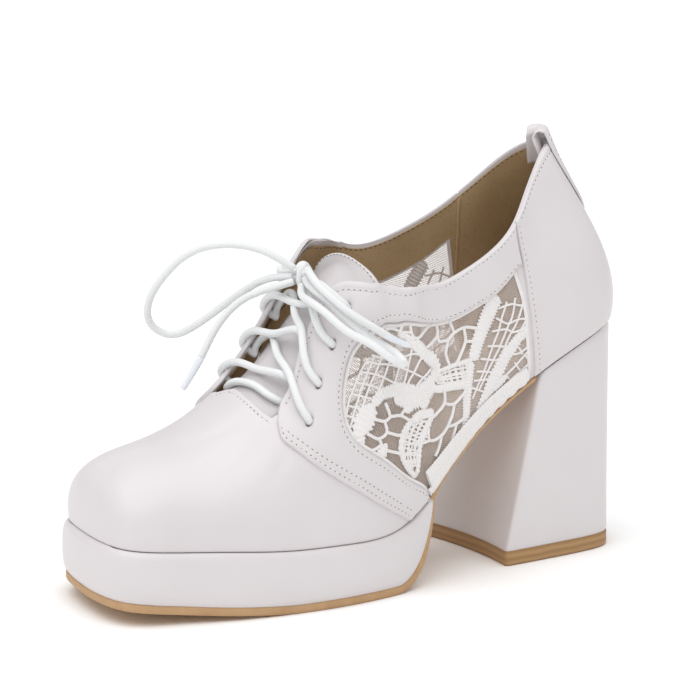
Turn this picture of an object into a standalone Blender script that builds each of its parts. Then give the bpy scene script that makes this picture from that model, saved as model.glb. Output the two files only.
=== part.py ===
"""White lace-up platform shoe for the left foot, with lace side panels and a flared block heel.

The toe points to -Y, the outer (lateral) side is +X and the floor is z = 0. All the sizes below are
millimetres, and make_object turns them into metres. A place along the shoe is s, counted from the back of
the heel seat towards the toe, and the upper's own surface is read as (u, v): u counts the sections of
SECTIONS from the heel back (0) to the toe (12), negative on the inner side, and v climbs from the sole
edge (0) to the collar or to the ridge of the instep (1).
"""
import math
from collections import namedtuple

import bmesh
import bpy
import numpy as np
from mathutils import Vector
from mathutils.geometry import delaunay_2d_cdt

# Driving dimensions
LAST_LENGTH = 232.0        # sole edge, heel back to toe
HALF_BALL = 44.5           # middle line to the outer side of the ball
HEEL_HEIGHT = 92.5         # sole edge at the back
BALL_HEIGHT = 24.0         # sole edge at the ball, the platform's height
BACK_HEIGHT = 162.5        # top of the counter
CENTRE = (1.28, 115.26)     # x and s of the middle of the whole shoe, which becomes the origin

GAP = 0.35                 # clearance between pieces that meet
OVERLAY_GAP = 0.6          # clearance under leather laid over the curved wall
WALL = 1.5                 # upper's wall
OVERLAY = 1.2              # leather laid over the upper's wall
PANEL = 0.9                # lace panel
TONGUE = 1.5
INSOLE = 2.6
OUTSOLE = 3.3
SHANK = 2.2                # outsole under the arch
TOE_SPRING = 6.3
SPRING_POWER = 1.3         # how the lift grows from its start to the toe
SPRING_START = 165.0       # s where the toe starts to lift
PLATFORM_BACK = 120.0      # s where the platform's underside turns up to the arch
PLATFORM_TURN = (21.5, 34.0)   # reach and rise of that turn
BREAST = 43.0              # s of the heel's front face at its top
LIFT = 6.0
THROAT_FILL = (5.65, .38, 1.7) # u, reach in u and amount by which the wall is filled out beside the throat
CORD = 3.0                 # lace diameter
EYELET = 3.4

Section = namedtuple("Section", "name along lateral medial foot top_along top_lateral top_medial top_half "
                                "aim low_out low_up high_out high_down")
# Shares: along and top_along of the length, lateral, medial and top_half of the half ball, foot of the
# rise from ball to heel, top_lateral and top_medial of the back height. aim is the way the wall faces in
# plan, in degrees from straight back. The last four shape the wall's curve, in millimetres.
SECTIONS = [
    Section("heel_back", .000, .000, .000, 1.000, .101, 1.000, 1.000, .000, 0, 6.8, 26, 10.5, 25),
    Section("heel_round", .026, .427, .427, .978, .127, .982, .991, .146, 52, 6.3, 25, 10.5, 25),
    Section("heel_side", .106, .573, .551, .876, .177, .908, .935, .303, 83, 6.0, 22, 7.0, 22),
    Section("breast", .200, .573, .539, .715, .239, .809, .852, .472, 90, 5.5, 22, 3.5, 20),
    Section("waist", .304, .607, .517, .496, .334, .738, .782, .562, 90, 5.5, 22, 2.5, 18),
    Section("shank", .407, .764, .618, .241, .442, .728, .772, .596, 90, 5.0, 22, 4.0, 22),
    Section("instep", .506, .921, .809, .022, .515, .849, .849, .000, 90, 3.5, 24, 36.0, 2),
    Section("ball", .619, 1.000, .921, -.007, .610, .683, .683, .000, 90, 3.0, 22, 30.0, 1),
    Section("joint", .726, .978, .944, .003, .705, .505, .505, .000, 90, 3.0, 20, 25.0, 0),
    Section("toe_box", .825, .899, .899, .032, .795, .409, .409, .000, 90, 3.0, 18, 26.0, 0),
    Section("toe_side", .912, .760, .820, .050, .864, .378, .378, .000, 96, 2.5, 17, 26.0, 1),
    Section("toe_corner", .978, .560, .607, .073, .899, .369, .369, .000, 140, 2.0, 17, 22.0, 4),
    Section("toe_front", .995, .000, .000, .080, .912, .364, .364, .000, 180, 2.0, 17, 15.0, 4),
]
TOE = len(SECTIONS) - 1
TOE_TURN = .09             # how far the toe's outer corner leads its inner one, as a share of x

# Lines drawn on the upper's surface, as (u, v), for the outer side and then the inner side
FACING = [(6.78, .835), (7.21, .79), (7.57, .705), (7.80, .675), (7.93, .62)]
FACING_MEDIAL = [(6.27, .85), (6.58, .852), (6.90, .84), (7.30, .80), (7.77, .78), (8.12, .80), (8.22, .76)]
VAMP_SEAM = [(7.93, .62), (7.95, .55), (7.85, .494), (7.52, .378), (7.15, .282), (6.67, .185), (6.11, .081),
             (5.85, .015)]
VAMP_SEAM_MEDIAL = [(8.22, .76), (8.22, .66), (8.02, .53), (7.60, .39), (7.15, .282), (6.67, .185),
                    (6.11, .081), (5.85, .015)]
COLLAR = [(4.93, 1.0), (5.08, .955), (5.32, .868), (5.60, .767), (5.87, .717), (6.10, .709), (6.28, .732),
          (6.45, .775), (6.63, .815), (6.78, .835)]
COLLAR_MEDIAL = [(4.97, 1.0), (5.27, .946), (5.56, .872), (5.84, .819), (6.05, .815), (6.27, .85)]
WINDOW_SIDE = [(5.30, .0), (5.55, .108), (6.10, .22), (6.62, .317), (6.83, .375), (6.93, .444),
               (6.89, .525), (6.70, .594), (6.40, .603), (6.15, .593)]
WINDOW_TOP = [(6.15, .593), (5.88, .602), (5.66, .627), (5.34, .701), (5.10, .760), (4.88, .788),
              (4.68, .788), (4.42, .767), (4.19, .746), (3.90, .729), (3.60, .722), (3.35, .732),
              (3.15, .745), (2.96, .752)]
COUNTER_SEAM = [(2.75, 1.0), (2.78, .75), (2.91, .51), (3.00, .26), (2.98, .015)]
TONGUE_SEAM = [(8.17, 1.0), (8.17, .865), (8.09, .734), (7.99, .66)]
TONGUE_SEAM_MEDIAL = [(8.17, 1.0), (8.22, .92), (8.24, .87)]
EYELETS = [(7.45, .525), (7.18, .61), (6.87, .668), (6.57, .707)]
EYELETS_MEDIAL = [(7.78, .715), (7.36, .735), (6.98, .772), (6.62, .790)]
LOW_EDGE = .015            # v where the leather laid over the wall starts, clear of the sole
SEAM_GAP = .035            # u between counter and quarter
FACING_STEP = .025         # v by which the wall stops behind the facing's edge

# Tongue: u of each row, v of its side edges, how deep it lies under the upper's surface and by how much its
# edges rise towards the wall; then its free end as x, s, z from the outer edge to the inner one
TongueRow = namedtuple("TongueRow", "u edge depth rise")
TONGUE_ROWS = [
    TongueRow(8.95, .84, .5, .0),
    TongueRow(8.60, .76, .5, .0),
    TongueRow(8.20, .70, 1.2, .0),
    TongueRow(7.80, .655, 3.2, .6),
    TongueRow(7.40, .63, 5.2, 1.8),
    TongueRow(7.05, .62, 5.8, 2.4),
    TongueRow(6.75, .62, 8.8, 3.0),
    TongueRow(6.52, .63, 10.4, 3.5),
]
TONGUE_END = [(22.5, 114.5, 114.5), (18.5, 115, 119), (12, 117, 123.3), (3, 119, 125.9), (-6, 120, 125.2),
              (-12.5, 121, 121.5), (-17, 121.5, 115)]

# Platform side, bottom to top: share of the height and how far it stands out from the sole edge
PLATFORM_SIDE = [(0.0, 1.1), (.09, 2.0), (.25, 2.6), (.60, 2.7), (.82, 2.3), (.94, 1.5), (1.0, .5)]
OUTSOLE_OUT = 1.4          # how far the outsole's edge stands out from the sole edge, and under the arch
WAIST_OUT = .6
ARCH_START, ARCH_END = 95.0, 100.2     # s where the sheet under the arch starts and meets the platform's turn
ARCH_CORNER = [97.3, 35.6]     # s and z of the bend between them on the underside

# Pull loop: half widths in u of its outer and inner leg, v and taper of the outer leg's low end, and how far
# its sides run straight above the collar
LOOP_HALF = .70
LOOP_INNER = .92
LOOP_LOW = .60
LOOP_TAPER = .5
LOOP_STAND = 4.2
TAPE = 1.2

# Heel bottom: u, s and half width of its outline on the floor
HEEL_FOOT = [(0, .8, 0), (1, 4.5, 19.5), (2, 22.0, 27.6), (2.87, 61.5, 30.6)]
BREAST_HOLLOW = 3.0        # how far the heel's front face is hollowed

# Lacing: u where the strand from an outer eyelet passes the outer facing's edge and where it dives under the
# inner facing, the same for the strand from the inner eyelet, the shares of the outer strand's straight way
# where the inner one lies against it and where it stops, and how far both ride up over the tongue
Crossing = namedtuple("Crossing", "name outer_rim outer_under inner_rim inner_under meet reach lift")
CROSSINGS = [
    Crossing("lace_cross_low", 7.505, 7.26, 7.75, 7.485, .16, .86, 2.0),
    Crossing("lace_cross_middle", 7.125, 6.84, 7.325, 7.165, .16, .86, .0),
    Crossing("lace_cross_high", 6.905, 6.66, 6.95, 6.815, .26, .42, .0),
]
UNDER_DEPTH = 3.4          # a strand's middle under the surface where it dives under a facing
TOUCH = .85                # distance of two joined strands' middles, as a share of the cord's thickness

# Bow: routes as x, s, z
KNOT = (1.0, 136.0, 119.0)
KNOT_SIZE = (9.0, 7.5, 11.5)
TOP_END = (6.2, 134.5, 117.1)      # where the strands from the top eyelets reach the knot
TOP_END_MEDIAL = (-4.2, 134.5, 119.5)
TOP_STEP, TOP_STEP_MEDIAL = .15, .10   # how far in u they slant before the facing's edge
LOOP_LEFT = [(-3.5, 137.9, 121.4), (-11, 147.5, 128), (-20, 157, 130), (-30, 168, 126.5), (-38, 176, 116.5),
             (-43, 180, 105.5), (-45, 177.5, 96.5), (-42, 171, 92.5), (-36, 165, 95.5), (-27, 156.5, 104.5),
             (-18, 149, 113), (-11, 144.5, 117), (-4.0, 138.5, 118.3)]
END_LEFT = [(-1.4, 139.5, 116.8), (-8, 147.5, 113.5), (-13, 154, 110), (-17, 160.5, 103.5), (-19, 166, 95),
            (-20, 170, 87), (-22, 177, 75)]
LOOP_RIGHT = [(5.3, 138.2, 118.8), (14, 142, 118), (23.5, 142.3, 115.3), (29.2, 138.8, 110.6),
              (32.5, 135.4, 106.6), (35.3, 132, 102.8), (39.5, 123, 96.2), (42, 120.6, 93.9),
              (45.9, 120.4, 92.2), (49.6, 122.3, 91.8), (51.7, 125.8, 92.9), (51.4, 129.5, 95),
              (47.7, 133.9, 99.1), (38.8, 140.9, 104.4), (29.8, 144.6, 110.2), (22.2, 145.9, 113),
              (13.2, 144.6, 114.1), (4.1, 139.1, 116.1)]
END_RIGHT = [(5.3, 137.1, 122.2), (14, 142, 123), (24.5, 143.5, 119), (28.8, 141.8, 116),
             (32.8, 138.9, 112.2), (36, 135, 108.7), (39.7, 126.8, 103), (39.4, 119.8, 98.8),
             (37.4, 112, 95.5)]

# Lines of u and v on which the wall gets points inside its outlines
U_LINES = [0, .25, .5, .75, 1, 1.25, 1.5, 1.75, 2, 2.35, 2.75, 3.2, 3.7, 4.2, 4.7, 5.2, 5.7, 6.2, 6.7, 7.2,
           7.7, 8.2, 8.7, 9.2, 9.7, 10.1, 10.5, 10.8, 11.1, 11.4, 11.7, 12]
V_LINES = [0, .12, .24, .36, .48, .6, .7, .8, .9, 1]
U_MM = 24.0                # one step of u and of v on the drawing sheet
V_MM = 75.0
LACE_PITCH = 9.5           # lace gaps: spacing, length and width
LACE_GAP = np.array([6.0, 5.2])
LACE_RIM = 5.0             # plain border of the lace


# The upper's surface
def section_ring():
    """One row of curve values per section, round the shoe: outer side to the toe, inner side back."""
    sides = {1: [], -1: []}
    for row in SECTIONS:
        angle = math.radians(row.aim)
        for side, half, top in ((1, row.lateral, row.top_lateral), (-1, row.medial, row.top_medial)):
            x = side * half * HALF_BALL
            lead = TOE_TURN * x if row is SECTIONS[-2] else 0
            sides[side].append([
                x, row.along * LAST_LENGTH + lead,
                BALL_HEIGHT + row.foot * (HEEL_HEIGHT - BALL_HEIGHT),
                side * row.top_half * HALF_BALL, row.top_along * LAST_LENGTH, top * BACK_HEIGHT,
                side * math.sin(angle), -math.cos(angle),
                row.low_out, row.low_up, row.high_out, row.high_down])
    return np.array(sides[1] + sides[-1][-2:0:-1])


def ring_slopes(ring):
    """Slopes of a closed cubic spline, with the tops' x kept from overshooting the middle line."""
    count = len(ring)
    ahead = np.roll(ring, -1, axis=0)
    behind = np.roll(ring, 1, axis=0)
    matrix = 4 * np.eye(count) + np.roll(np.eye(count), 1, 1) + np.roll(np.eye(count), -1, 1)
    slopes = np.linalg.solve(matrix, 3 * (ahead - behind))
    rise, fall = (ring - behind)[:, 3], (ahead - ring)[:, 3]
    total = np.where(np.abs(rise + fall) < 1e-9, 1, rise + fall)
    slopes[:, 3] = np.where(rise * fall > 0, 2 * rise * fall / total, 0)
    return slopes


RING = section_ring()
SLOPES = ring_slopes(RING)


def section_at(u):
    """Curve values of the section at u, between the rows of the table."""
    u = np.asarray(u, float) % len(RING)
    first = np.floor(u).astype(int) % len(RING)
    t = (u - np.floor(u))[..., None]
    second = (first + 1) % len(RING)
    return ((2 * t**3 - 3 * t**2 + 1) * RING[first] + (t**3 - 2 * t**2 + t) * SLOPES[first]
            + (3 * t**2 - 2 * t**3) * RING[second] + (t**3 - t**2) * SLOPES[second])


def aim_of(values):
    """Unit direction in plan that the wall faces."""
    return values[..., 6:8] / np.linalg.norm(values[..., 6:8], axis=-1, keepdims=True)


def surface(u, v):
    """Point (x, s, z) on the upper's outer surface: one curve from the sole edge up to the top line."""
    values = section_at(u)
    v = np.asarray(v, float)[..., None]
    w = 1 - v
    foot, top, aim = values[..., 0:3], values[..., 3:6], aim_of(values)
    low = foot + np.concatenate([aim * values[..., 8:9], values[..., 9:10]], -1)
    high = top + np.concatenate([aim * values[..., 10:11], -values[..., 11:12]], -1)
    point = w**3 * foot + 3 * w * w * v * low + 3 * w * v * v * high + v**3 * top
    middle, reach, amount = THROAT_FILL
    fill = amount * np.exp(-((np.abs(np.asarray(u, float)) - middle) / reach)**2)[..., None]
    point[..., 0:2] += aim * fill * v * v * (3 - 2 * v)
    return point


def raw_normal(u, v, h=1e-3):
    u = np.asarray(u, float)
    inside = np.clip(np.asarray(v, float), 2e-3, 1 - 2e-3)
    along = surface(u + h, inside) - surface(u - h, inside)
    up = surface(u, inside + h) - surface(u, inside - h)
    normal = np.cross(along, up)
    return normal / np.linalg.norm(normal, axis=-1, keepdims=True)


def offset(u, v, distance):
    """Point of the surface moved out by distance; on the ridge both sides agree."""
    u, v = np.broadcast_arrays(np.asarray(u, float), np.asarray(v, float))
    normal = raw_normal(u, v)
    ridge = ((v > .9999) & (np.abs(u) >= 6))[..., None]
    both = normal + raw_normal(-u, v)
    both = both / np.linalg.norm(both, axis=-1, keepdims=True)
    return surface(u, v) + np.where(ridge, both, normal) * np.asarray(distance, float)[..., None]


DENSE_U = np.linspace(0, TOE, 1201)
DENSE_S = section_at(DENSE_U)[:, 1]


def u_of(s):
    """Section number whose sole edge is at s."""
    return np.interp(s, DENSE_S, DENSE_U)


def sole_edge(u, out):
    """Sole edge point moved out in plan."""
    values = section_at(u)
    point = values[..., 0:3].copy()
    point[..., 0:2] += aim_of(values) * np.asarray(out, float)[..., None]
    return point


def edge_height(s):
    return section_at(u_of(s))[..., 2]


# Solids
def make_object(name, verts, faces, colour, roughness, smooth=40):
    """One closed, outward-facing object from points (x, s, z) in millimetres."""
    points = np.asarray(verts, float)
    placed = np.stack([points[:, 0] - CENTRE[0], CENTRE[1] - points[:, 1], points[:, 2]], 1) * .001
    bm = bmesh.new()
    made = [bm.verts.new(p) for p in placed]
    for face in faces:
        loop = [i for k, i in enumerate(face) if i != face[k - 1]]
        if len(set(loop)) > 2:
            bm.faces.new([made[i] for i in loop])
    bmesh.ops.remove_doubles(bm, verts=bm.verts, dist=2e-6)
    loose = [vert for vert in bm.verts if not vert.link_faces]
    bmesh.ops.delete(bm, geom=loose, context="VERTS")
    bmesh.ops.triangulate(bm, faces=bm.faces)
    bmesh.ops.recalc_face_normals(bm, faces=bm.faces)
    mesh = bpy.data.meshes.new(name)
    bm.to_mesh(mesh)
    bm.free()
    mesh.shade_smooth()
    mesh.set_sharp_from_angle(angle=math.radians(smooth))
    obj = bpy.data.objects.new(name, mesh)
    bpy.context.collection.objects.link(obj)
    mesh.materials.append(material(name, colour, roughness))
    return obj


def material(name, colour, roughness):
    mat = bpy.data.materials.new(name)
    mat.use_nodes = True
    shader = mat.node_tree.nodes["Principled BSDF"]
    shader.inputs["Base Color"].default_value = (*colour, 1)
    shader.inputs["Roughness"].default_value = roughness
    shader.inputs["Metallic"].default_value = 0
    return mat


def slab(rings):
    """Solid between stacked rings: rings[level, station, side], stations from the back to the toe."""
    levels, stations = rings.shape[:2]
    index = np.arange(levels * stations * 2).reshape(levels, stations, 2)
    faces = []
    for k in range(stations - 1):
        for side in (0, 1):
            for r in range(levels - 1):
                faces.append([index[r, k, side], index[r, k + 1, side], index[r + 1, k + 1, side],
                              index[r + 1, k, side]])
        for r in (0, levels - 1):
            faces.append([index[r, k, 0], index[r, k + 1, 0], index[r, k + 1, 1], index[r, k, 1]])
    for k in (0, stations - 1):
        for r in range(levels - 1):
            faces.append([index[r, k, 0], index[r + 1, k, 0], index[r + 1, k, 1], index[r, k, 1]])
    return weld(rings.reshape(-1, 3), faces)


def sheet(outer, inner):
    """Solid between two grids of points with the same rows and columns."""
    rows, columns = outer.shape[:2]
    index = np.arange(rows * columns * 2).reshape(2, rows, columns)
    faces = []
    for layer in (0, 1):
        for i in range(rows - 1):
            for j in range(columns - 1):
                faces.append([index[layer, i, j], index[layer, i, j + 1], index[layer, i + 1, j + 1],
                              index[layer, i + 1, j]])
    rim = [(i, 0) for i in range(rows)] + [(rows - 1, j) for j in range(1, columns)]
    rim += [(i, columns - 1) for i in range(rows - 2, -1, -1)] + [(0, j) for j in range(columns - 2, 0, -1)]
    for (i, j), (p, q) in zip(rim, rim[1:] + rim[:1]):
        faces.append([index[0, i, j], index[0, p, q], index[1, p, q], index[1, i, j]])
    return np.concatenate([outer.reshape(-1, 3), inner.reshape(-1, 3)]), faces


def weld(points, faces):
    """Give points at one place one number."""
    keys, numbers = {}, []
    for point in np.round(points, 4):
        numbers.append(keys.setdefault(tuple(point), len(numbers)))
    return points, [[numbers[i] for i in face] for face in faces]


def smooth_line(points, step):
    """Curve through a few points of the drawing sheet, sampled about every step millimetres."""
    scale = np.array([U_MM, V_MM])
    p = np.asarray(points, float) * scale
    ends = np.concatenate([[2 * p[0] - p[1]], p, [2 * p[-1] - p[-2]]])
    line = []
    for a, b, c, d in zip(ends, ends[1:], ends[2:], ends[3:]):
        count = max(1, round(np.linalg.norm(c - b) / step))
        for t in np.arange(count) / count:
            line.append(.5 * (2 * b + (c - a) * t + (2 * a - 5 * b + 4 * c - d) * t**2
                              + (3 * b - a - 3 * c + d) * t**3))
    line.append(p[-1])
    return np.array(line) / scale


def straight(start, end, lines):
    """Straight edge of the sheet with points on the given lines of u or v."""
    start, end = np.array(start, float), np.array(end, float)
    axis = 0 if abs(end[0] - start[0]) > abs(end[1] - start[1]) else 1
    low, high = sorted((start[axis], end[axis]))
    marks = sorted({m * sign for m in lines for sign in (1, -1)})
    marks = [low] + [m for m in marks if low + .04 < m < high - .04] + [high]
    if start[axis] > end[axis]:
        marks.reverse()
    points = np.repeat(start[None], len(marks), 0)
    points[:, axis] = marks
    return points


def outline(*edges):
    """Join edges, end to start, into one closed outline."""
    line = []
    for edge in edges:
        for point in np.asarray(edge, float):
            if not line or np.linalg.norm(np.subtract(point, line[-1])) > 1e-6:
                line.append(tuple(np.round(point, 6)))
    if np.linalg.norm(np.subtract(line[0], line[-1])) < 1e-6:
        line.pop()
    return line


def mirrored(line):
    return np.asarray(line, float) * [-1, 1]


def inside(points, loop):
    """Which points lie inside a closed outline."""
    points, loop = np.asarray(points, float), np.asarray(loop, float)
    hit = np.zeros(len(points), bool)
    for a, b in zip(loop, np.roll(loop, -1, axis=0)):
        spans = (a[1] > points[:, 1]) != (b[1] > points[:, 1])
        run = (b[0] - a[0]) * (points[:, 1] - a[1]) / (b[1] - a[1] + 1e-15) + a[0]
        hit ^= spans & (points[:, 0] < run)
    return hit


def edge_distance(points, loop):
    """Distance on the sheet from points to the nearest side of an outline."""
    scale = np.array([U_MM, V_MM])
    p = np.asarray(points, float)[:, None] * scale
    a = np.asarray(loop, float)[None] * scale
    b = np.roll(a, -1, axis=1)
    t = np.clip(((p - a) * (b - a)).sum(-1) / ((b - a)**2).sum(-1), 0, 1)[..., None]
    return np.linalg.norm(a + t * (b - a) - p, axis=-1).min(1)


def same_place(point):
    """Name of a sheet point, equal for the two sides of the toe's middle and of the instep ridge."""
    u, v = point
    if abs(u) > TOE - 1e-6 or (v > 1 - 1e-6 and abs(u) >= 6):
        u = abs(u)
    return round(u, 5), round(v, 5)


def panel(loop, holes, low, high):
    """Solid cut from the upper's surface: an outline with holes, between two distances from the surface."""
    scale = np.array([U_MM, V_MM])
    loops = [loop] + list(holes)
    grid = np.array([(u * side, v) for u in U_LINES for v in V_LINES for side in (1, -1) if u or side > 0])
    keep = inside(grid, loop) & (edge_distance(grid, loop) > 2.2)
    for hole in holes:
        keep &= ~inside(grid, hole) & (edge_distance(grid, hole) > 1.6)
    points = [p for one in loops for p in one] + [tuple(p) for p in grid[keep]]
    sides, start = [], 0
    for one in loops:
        sides += [(start + k, start + (k + 1) % len(one)) for k in range(len(one))]
        start += len(one)
    flat = [Vector(np.array(p) * scale) for p in points]
    spots, _, triangles = delaunay_2d_cdt(flat, sides, [], 0, 1e-5)[:3]
    spots = np.array([tuple(p) for p in spots]) / scale
    middle = np.array([spots[list(t)].mean(0) for t in triangles])
    keep = inside(middle, loop)
    for hole in holes:
        keep &= ~inside(middle, hole)
    keys, number = {}, []
    for spot in spots:
        number.append(keys.setdefault(same_place(spot), len(keys)))
    places = np.array(list(keys))
    faces = [[number[i] for i in t] for t, k in zip(triangles, keep) if k]
    used = {}
    for face in faces:
        for a, b in zip(face, face[1:] + face[:1]):
            used.setdefault(frozenset((a, b)), []).append((a, b))
    count = len(places)
    solid = faces + [[i + count for i in reversed(face)] for face in faces]
    for pair in used.values():
        if len(pair) == 1:
            a, b = pair[0]
            solid.append([b, a, a + count, b + count])
    outer, inner = (offset(places[:, 0], places[:, 1], np.full(count, d)) for d in (high, low))
    return np.concatenate([outer, inner]), solid


def round_hole(centre, diameter, sides=8):
    """Small round hole drawn on the sheet, true to size on the surface."""
    u, v = centre
    along = np.linalg.norm(surface(u + .02, v) - surface(u - .02, v)) / .04
    up = np.linalg.norm(surface(u, v + .01) - surface(u, v - .01)) / .02
    turns = np.arange(sides) * 2 * math.pi / sides
    return [(u + diameter / 2 / along * math.cos(t), v + diameter / 2 / up * math.sin(t)) for t in turns]


# Pieces of the upper
def window(side, inset=0.0):
    """Outline of the lace window on one side (1 outer, -1 inner)."""
    seam = np.asarray(COUNTER_SEAM[:0:-1], float) + [SEAM_GAP + .01, 0]
    corner = (WINDOW_TOP[-1][0], WINDOW_TOP[-1][1] - .002)
    seam = [(seam[0][0], 0)] + [p for p in seam if p[1] < .6] + [corner]
    loop = outline(smooth_line(WINDOW_SIDE, 6), smooth_line(WINDOW_TOP[:-1] + [corner], 6),
                   smooth_line(seam[::-1], 9))
    loop = np.array(loop)
    if inset:
        loop = shrink(loop, inset)
    return loop * [side, 1]


def shrink(loop, distance):
    """Move an outline inwards on the drawing sheet."""
    scale = np.array([U_MM, V_MM])
    p = np.asarray(loop, float) * scale
    ahead, behind = np.roll(p, -1, axis=0) - p, p - np.roll(p, 1, axis=0)
    turn = np.sign(np.cross(p, np.roll(p, -1, axis=0)).sum())
    normals = [np.stack([-d[:, 1], d[:, 0]], 1) / np.linalg.norm(d, axis=1, keepdims=True)
               for d in (ahead, behind)]
    mean = normals[0] + normals[1]
    mean /= (mean * normals[0]).sum(1, keepdims=True)
    return (p + turn * mean * distance) / scale


def facing_lines(side):
    """Collar, facing, vamp seam, tongue seam and eyelets of one side."""
    if side > 0:
        return COLLAR, FACING, VAMP_SEAM, TONGUE_SEAM, EYELETS
    return COLLAR_MEDIAL, FACING_MEDIAL, VAMP_SEAM_MEDIAL, TONGUE_SEAM_MEDIAL, EYELETS_MEDIAL


def half_upper(side):
    """The upper's outline on one side, from the middle of the toe back to the heel along the sole edge
    and from the heel's top back to the toe along collar, throat and ridge."""
    collar, facing, _, tongue_seam, _ = facing_lines(side)
    gate = window(1)
    low = [p for p in gate if p[1] < 1e-6]
    front, back = max(p[0] for p in low), min(p[0] for p in low)
    rim = np.roll(gate, -int(np.argmax([p[0] if p[1] < 1e-6 else -1 for p in gate])), axis=0)
    if rim[1][1] < 1e-6:
        rim = np.roll(rim[::-1], 1, axis=0)
    bottom = outline(straight((TOE, 0), (front, 0), U_LINES), rim, straight((back, 0), (0, 0), U_LINES))
    behind = np.asarray(facing[:-1], float) - [0, FACING_STEP]
    throat = outline(smooth_line(list(collar[:-1]) + [tuple(behind[0])], 6),
                     smooth_line(list(behind) + [tongue_seam[-1]], 6), smooth_line(tongue_seam[::-1], 6))
    top = outline(straight((0, 1), (collar[0][0], 1), U_LINES), throat,
                  straight((tongue_seam[0][0], 1), (TOE, 1), U_LINES),
                  straight((TOE, 1), (TOE, 0), V_LINES))
    return bottom, top


def upper():
    bottom, top = half_upper(1)
    bottom_medial, top_medial = half_upper(-1)
    loop = outline(bottom, mirrored(bottom_medial[::-1]), mirrored(top_medial[::-1]), top)
    holes = [round_hole((u, v), EYELET, 6) for u, v in EYELETS]
    holes += [round_hole((-u, v), EYELET, 6) for u, v in EYELETS_MEDIAL]
    return panel(loop, holes, -WALL, 0)


def quarter(side):
    """Facing with its eyelets, the strip along the vamp seam and the band under the collar."""
    collar, facing, seam, _, eyelets = facing_lines(side)
    gate = np.array(WINDOW_SIDE, float)
    gate[0] = (5.36, LOW_EDGE)
    end = np.array(COUNTER_SEAM[:2], float) + [SEAM_GAP, 0]
    low = (end[1][0] + .06, WINDOW_TOP[-1][1])
    loop = outline(smooth_line(facing, 5), smooth_line(seam, 6), smooth_line(gate, 6),
                   smooth_line(WINDOW_TOP[:-1] + [low], 6),
                   smooth_line([low, tuple(end[1]), tuple(end[0])], 9),
                   straight(end[0], collar[0], U_LINES), smooth_line(collar, 6))
    holes = [round_hole((u * side, v), EYELET) for u, v in eyelets]
    return panel(np.array(loop) * [side, 1], holes, OVERLAY_GAP, OVERLAY_GAP + OVERLAY)


def counter():
    seam = smooth_line(COUNTER_SEAM, 8)
    loop = outline(seam, straight(seam[-1], mirrored(seam)[-1], U_LINES), mirrored(seam)[::-1],
                   straight(mirrored(seam)[0], seam[0], U_LINES))
    return panel(loop, [], OVERLAY_GAP, OVERLAY_GAP + OVERLAY)


def lace_panel(side):
    """Lace set in the window: one thin wall with staggered rows of gaps inside a plain border."""
    loop = window(1, .5)
    loop[:, 1] = np.maximum(loop[:, 1], .008)
    field = shrink(loop, LACE_RIM)
    holes = []
    pitch = np.array([LACE_PITCH / U_MM, LACE_PITCH * .86 / V_MM])
    for row in range(12):
        for column in range(20):
            centre = np.array([2.9, .06]) + pitch * [column + .5 * (row % 2), row]
            turns = np.arange(6) * math.pi / 3
            shape = np.stack([np.cos(turns), np.sin(turns)], 1) * LACE_GAP / 2 / [U_MM, V_MM]
            if inside(centre + shape, field).all():
                holes.append([tuple(p) for p in (centre + shape) * [side, 1]])
    return panel([tuple(p) for p in loop * [side, 1]], holes, -PANEL - GAP, -GAP)


def tongue():
    """Leather flap under the facings: rows across the instep that sink towards its free end."""
    edge_share = np.linspace(1, 0, 6)
    grid = []
    for row in TONGUE_ROWS:
        v = 1 - (1 - row.edge) * edge_share
        depth = row.rise * edge_share**2 - (WALL + GAP + row.depth)
        lateral, medial = offset(row.u + 0 * v, v, depth), offset(-row.u + 0 * v, v, depth)
        grid.append(np.concatenate([lateral, medial[-2::-1]]))
    last, end = grid[-1], through(TONGUE_END, 0, 10)
    grid += [last + share * (end - last) for share in (.35, .7, 1)]
    outer = np.array(grid)
    normal = np.cross(np.gradient(outer, axis=1), np.gradient(outer, axis=0))
    normal /= np.linalg.norm(normal, axis=-1, keepdims=True)
    return sheet(outer, outer - normal * np.sign(normal[..., 2:3].mean()) * TONGUE)


def pull_loop():
    """Tape folded over the back seam: outer leg on the counter, a loop above it and a short inner leg."""
    outer_leg, inner_leg = OVERLAY_GAP + OVERLAY + GAP + TAPE / 2, -(WALL + OVERLAY_GAP + TAPE / 2)
    middle, reach = (outer_leg + inner_leg) / 2, (outer_leg - inner_leg) / 2
    span = np.linspace(-1, 1, 5)
    grids = []
    for thick in (TAPE / 2, -TAPE / 2):
        rows = []
        for v in (LOOP_LOW, .72, .86, .97):
            u = span * LOOP_HALF * (1 - LOOP_TAPER * (1 - v) / (1 - LOOP_LOW))
            rows.append(offset(u, v + 0 * u, np.full(5, outer_leg + thick)))
        for turn in np.radians([0, 45, 90, 135, 180]):
            u = span * (LOOP_HALF + (LOOP_INNER - LOOP_HALF) * turn / math.pi)
            normal = raw_normal(u, 1 + 0 * u)
            top = surface(u, 1 + 0 * u)
            rise = top - surface(u, .97 + 0 * u)
            rise /= np.linalg.norm(rise, axis=-1, keepdims=True)
            away = normal * math.cos(turn) + rise * math.sin(turn)
            rows.append(top + normal * (middle + reach * math.cos(turn))
                        + rise * (LOOP_STAND + reach * math.sin(turn)) + away * thick)
        for v in (1.0, .90):
            rows.append(offset(span * LOOP_INNER, v + 0 * span, np.full(5, inner_leg - thick)))
        grids.append(np.array(rows))
    return sheet(*grids)


# Pieces of the sole
def spring(s):
    """Height of the sole's underside: flat under the ball, lifting to the toe."""
    lift = np.clip((np.asarray(s, float) - SPRING_START) / (LAST_LENGTH - SPRING_START), 0, 1)
    return TOE_SPRING * lift**SPRING_POWER


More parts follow.
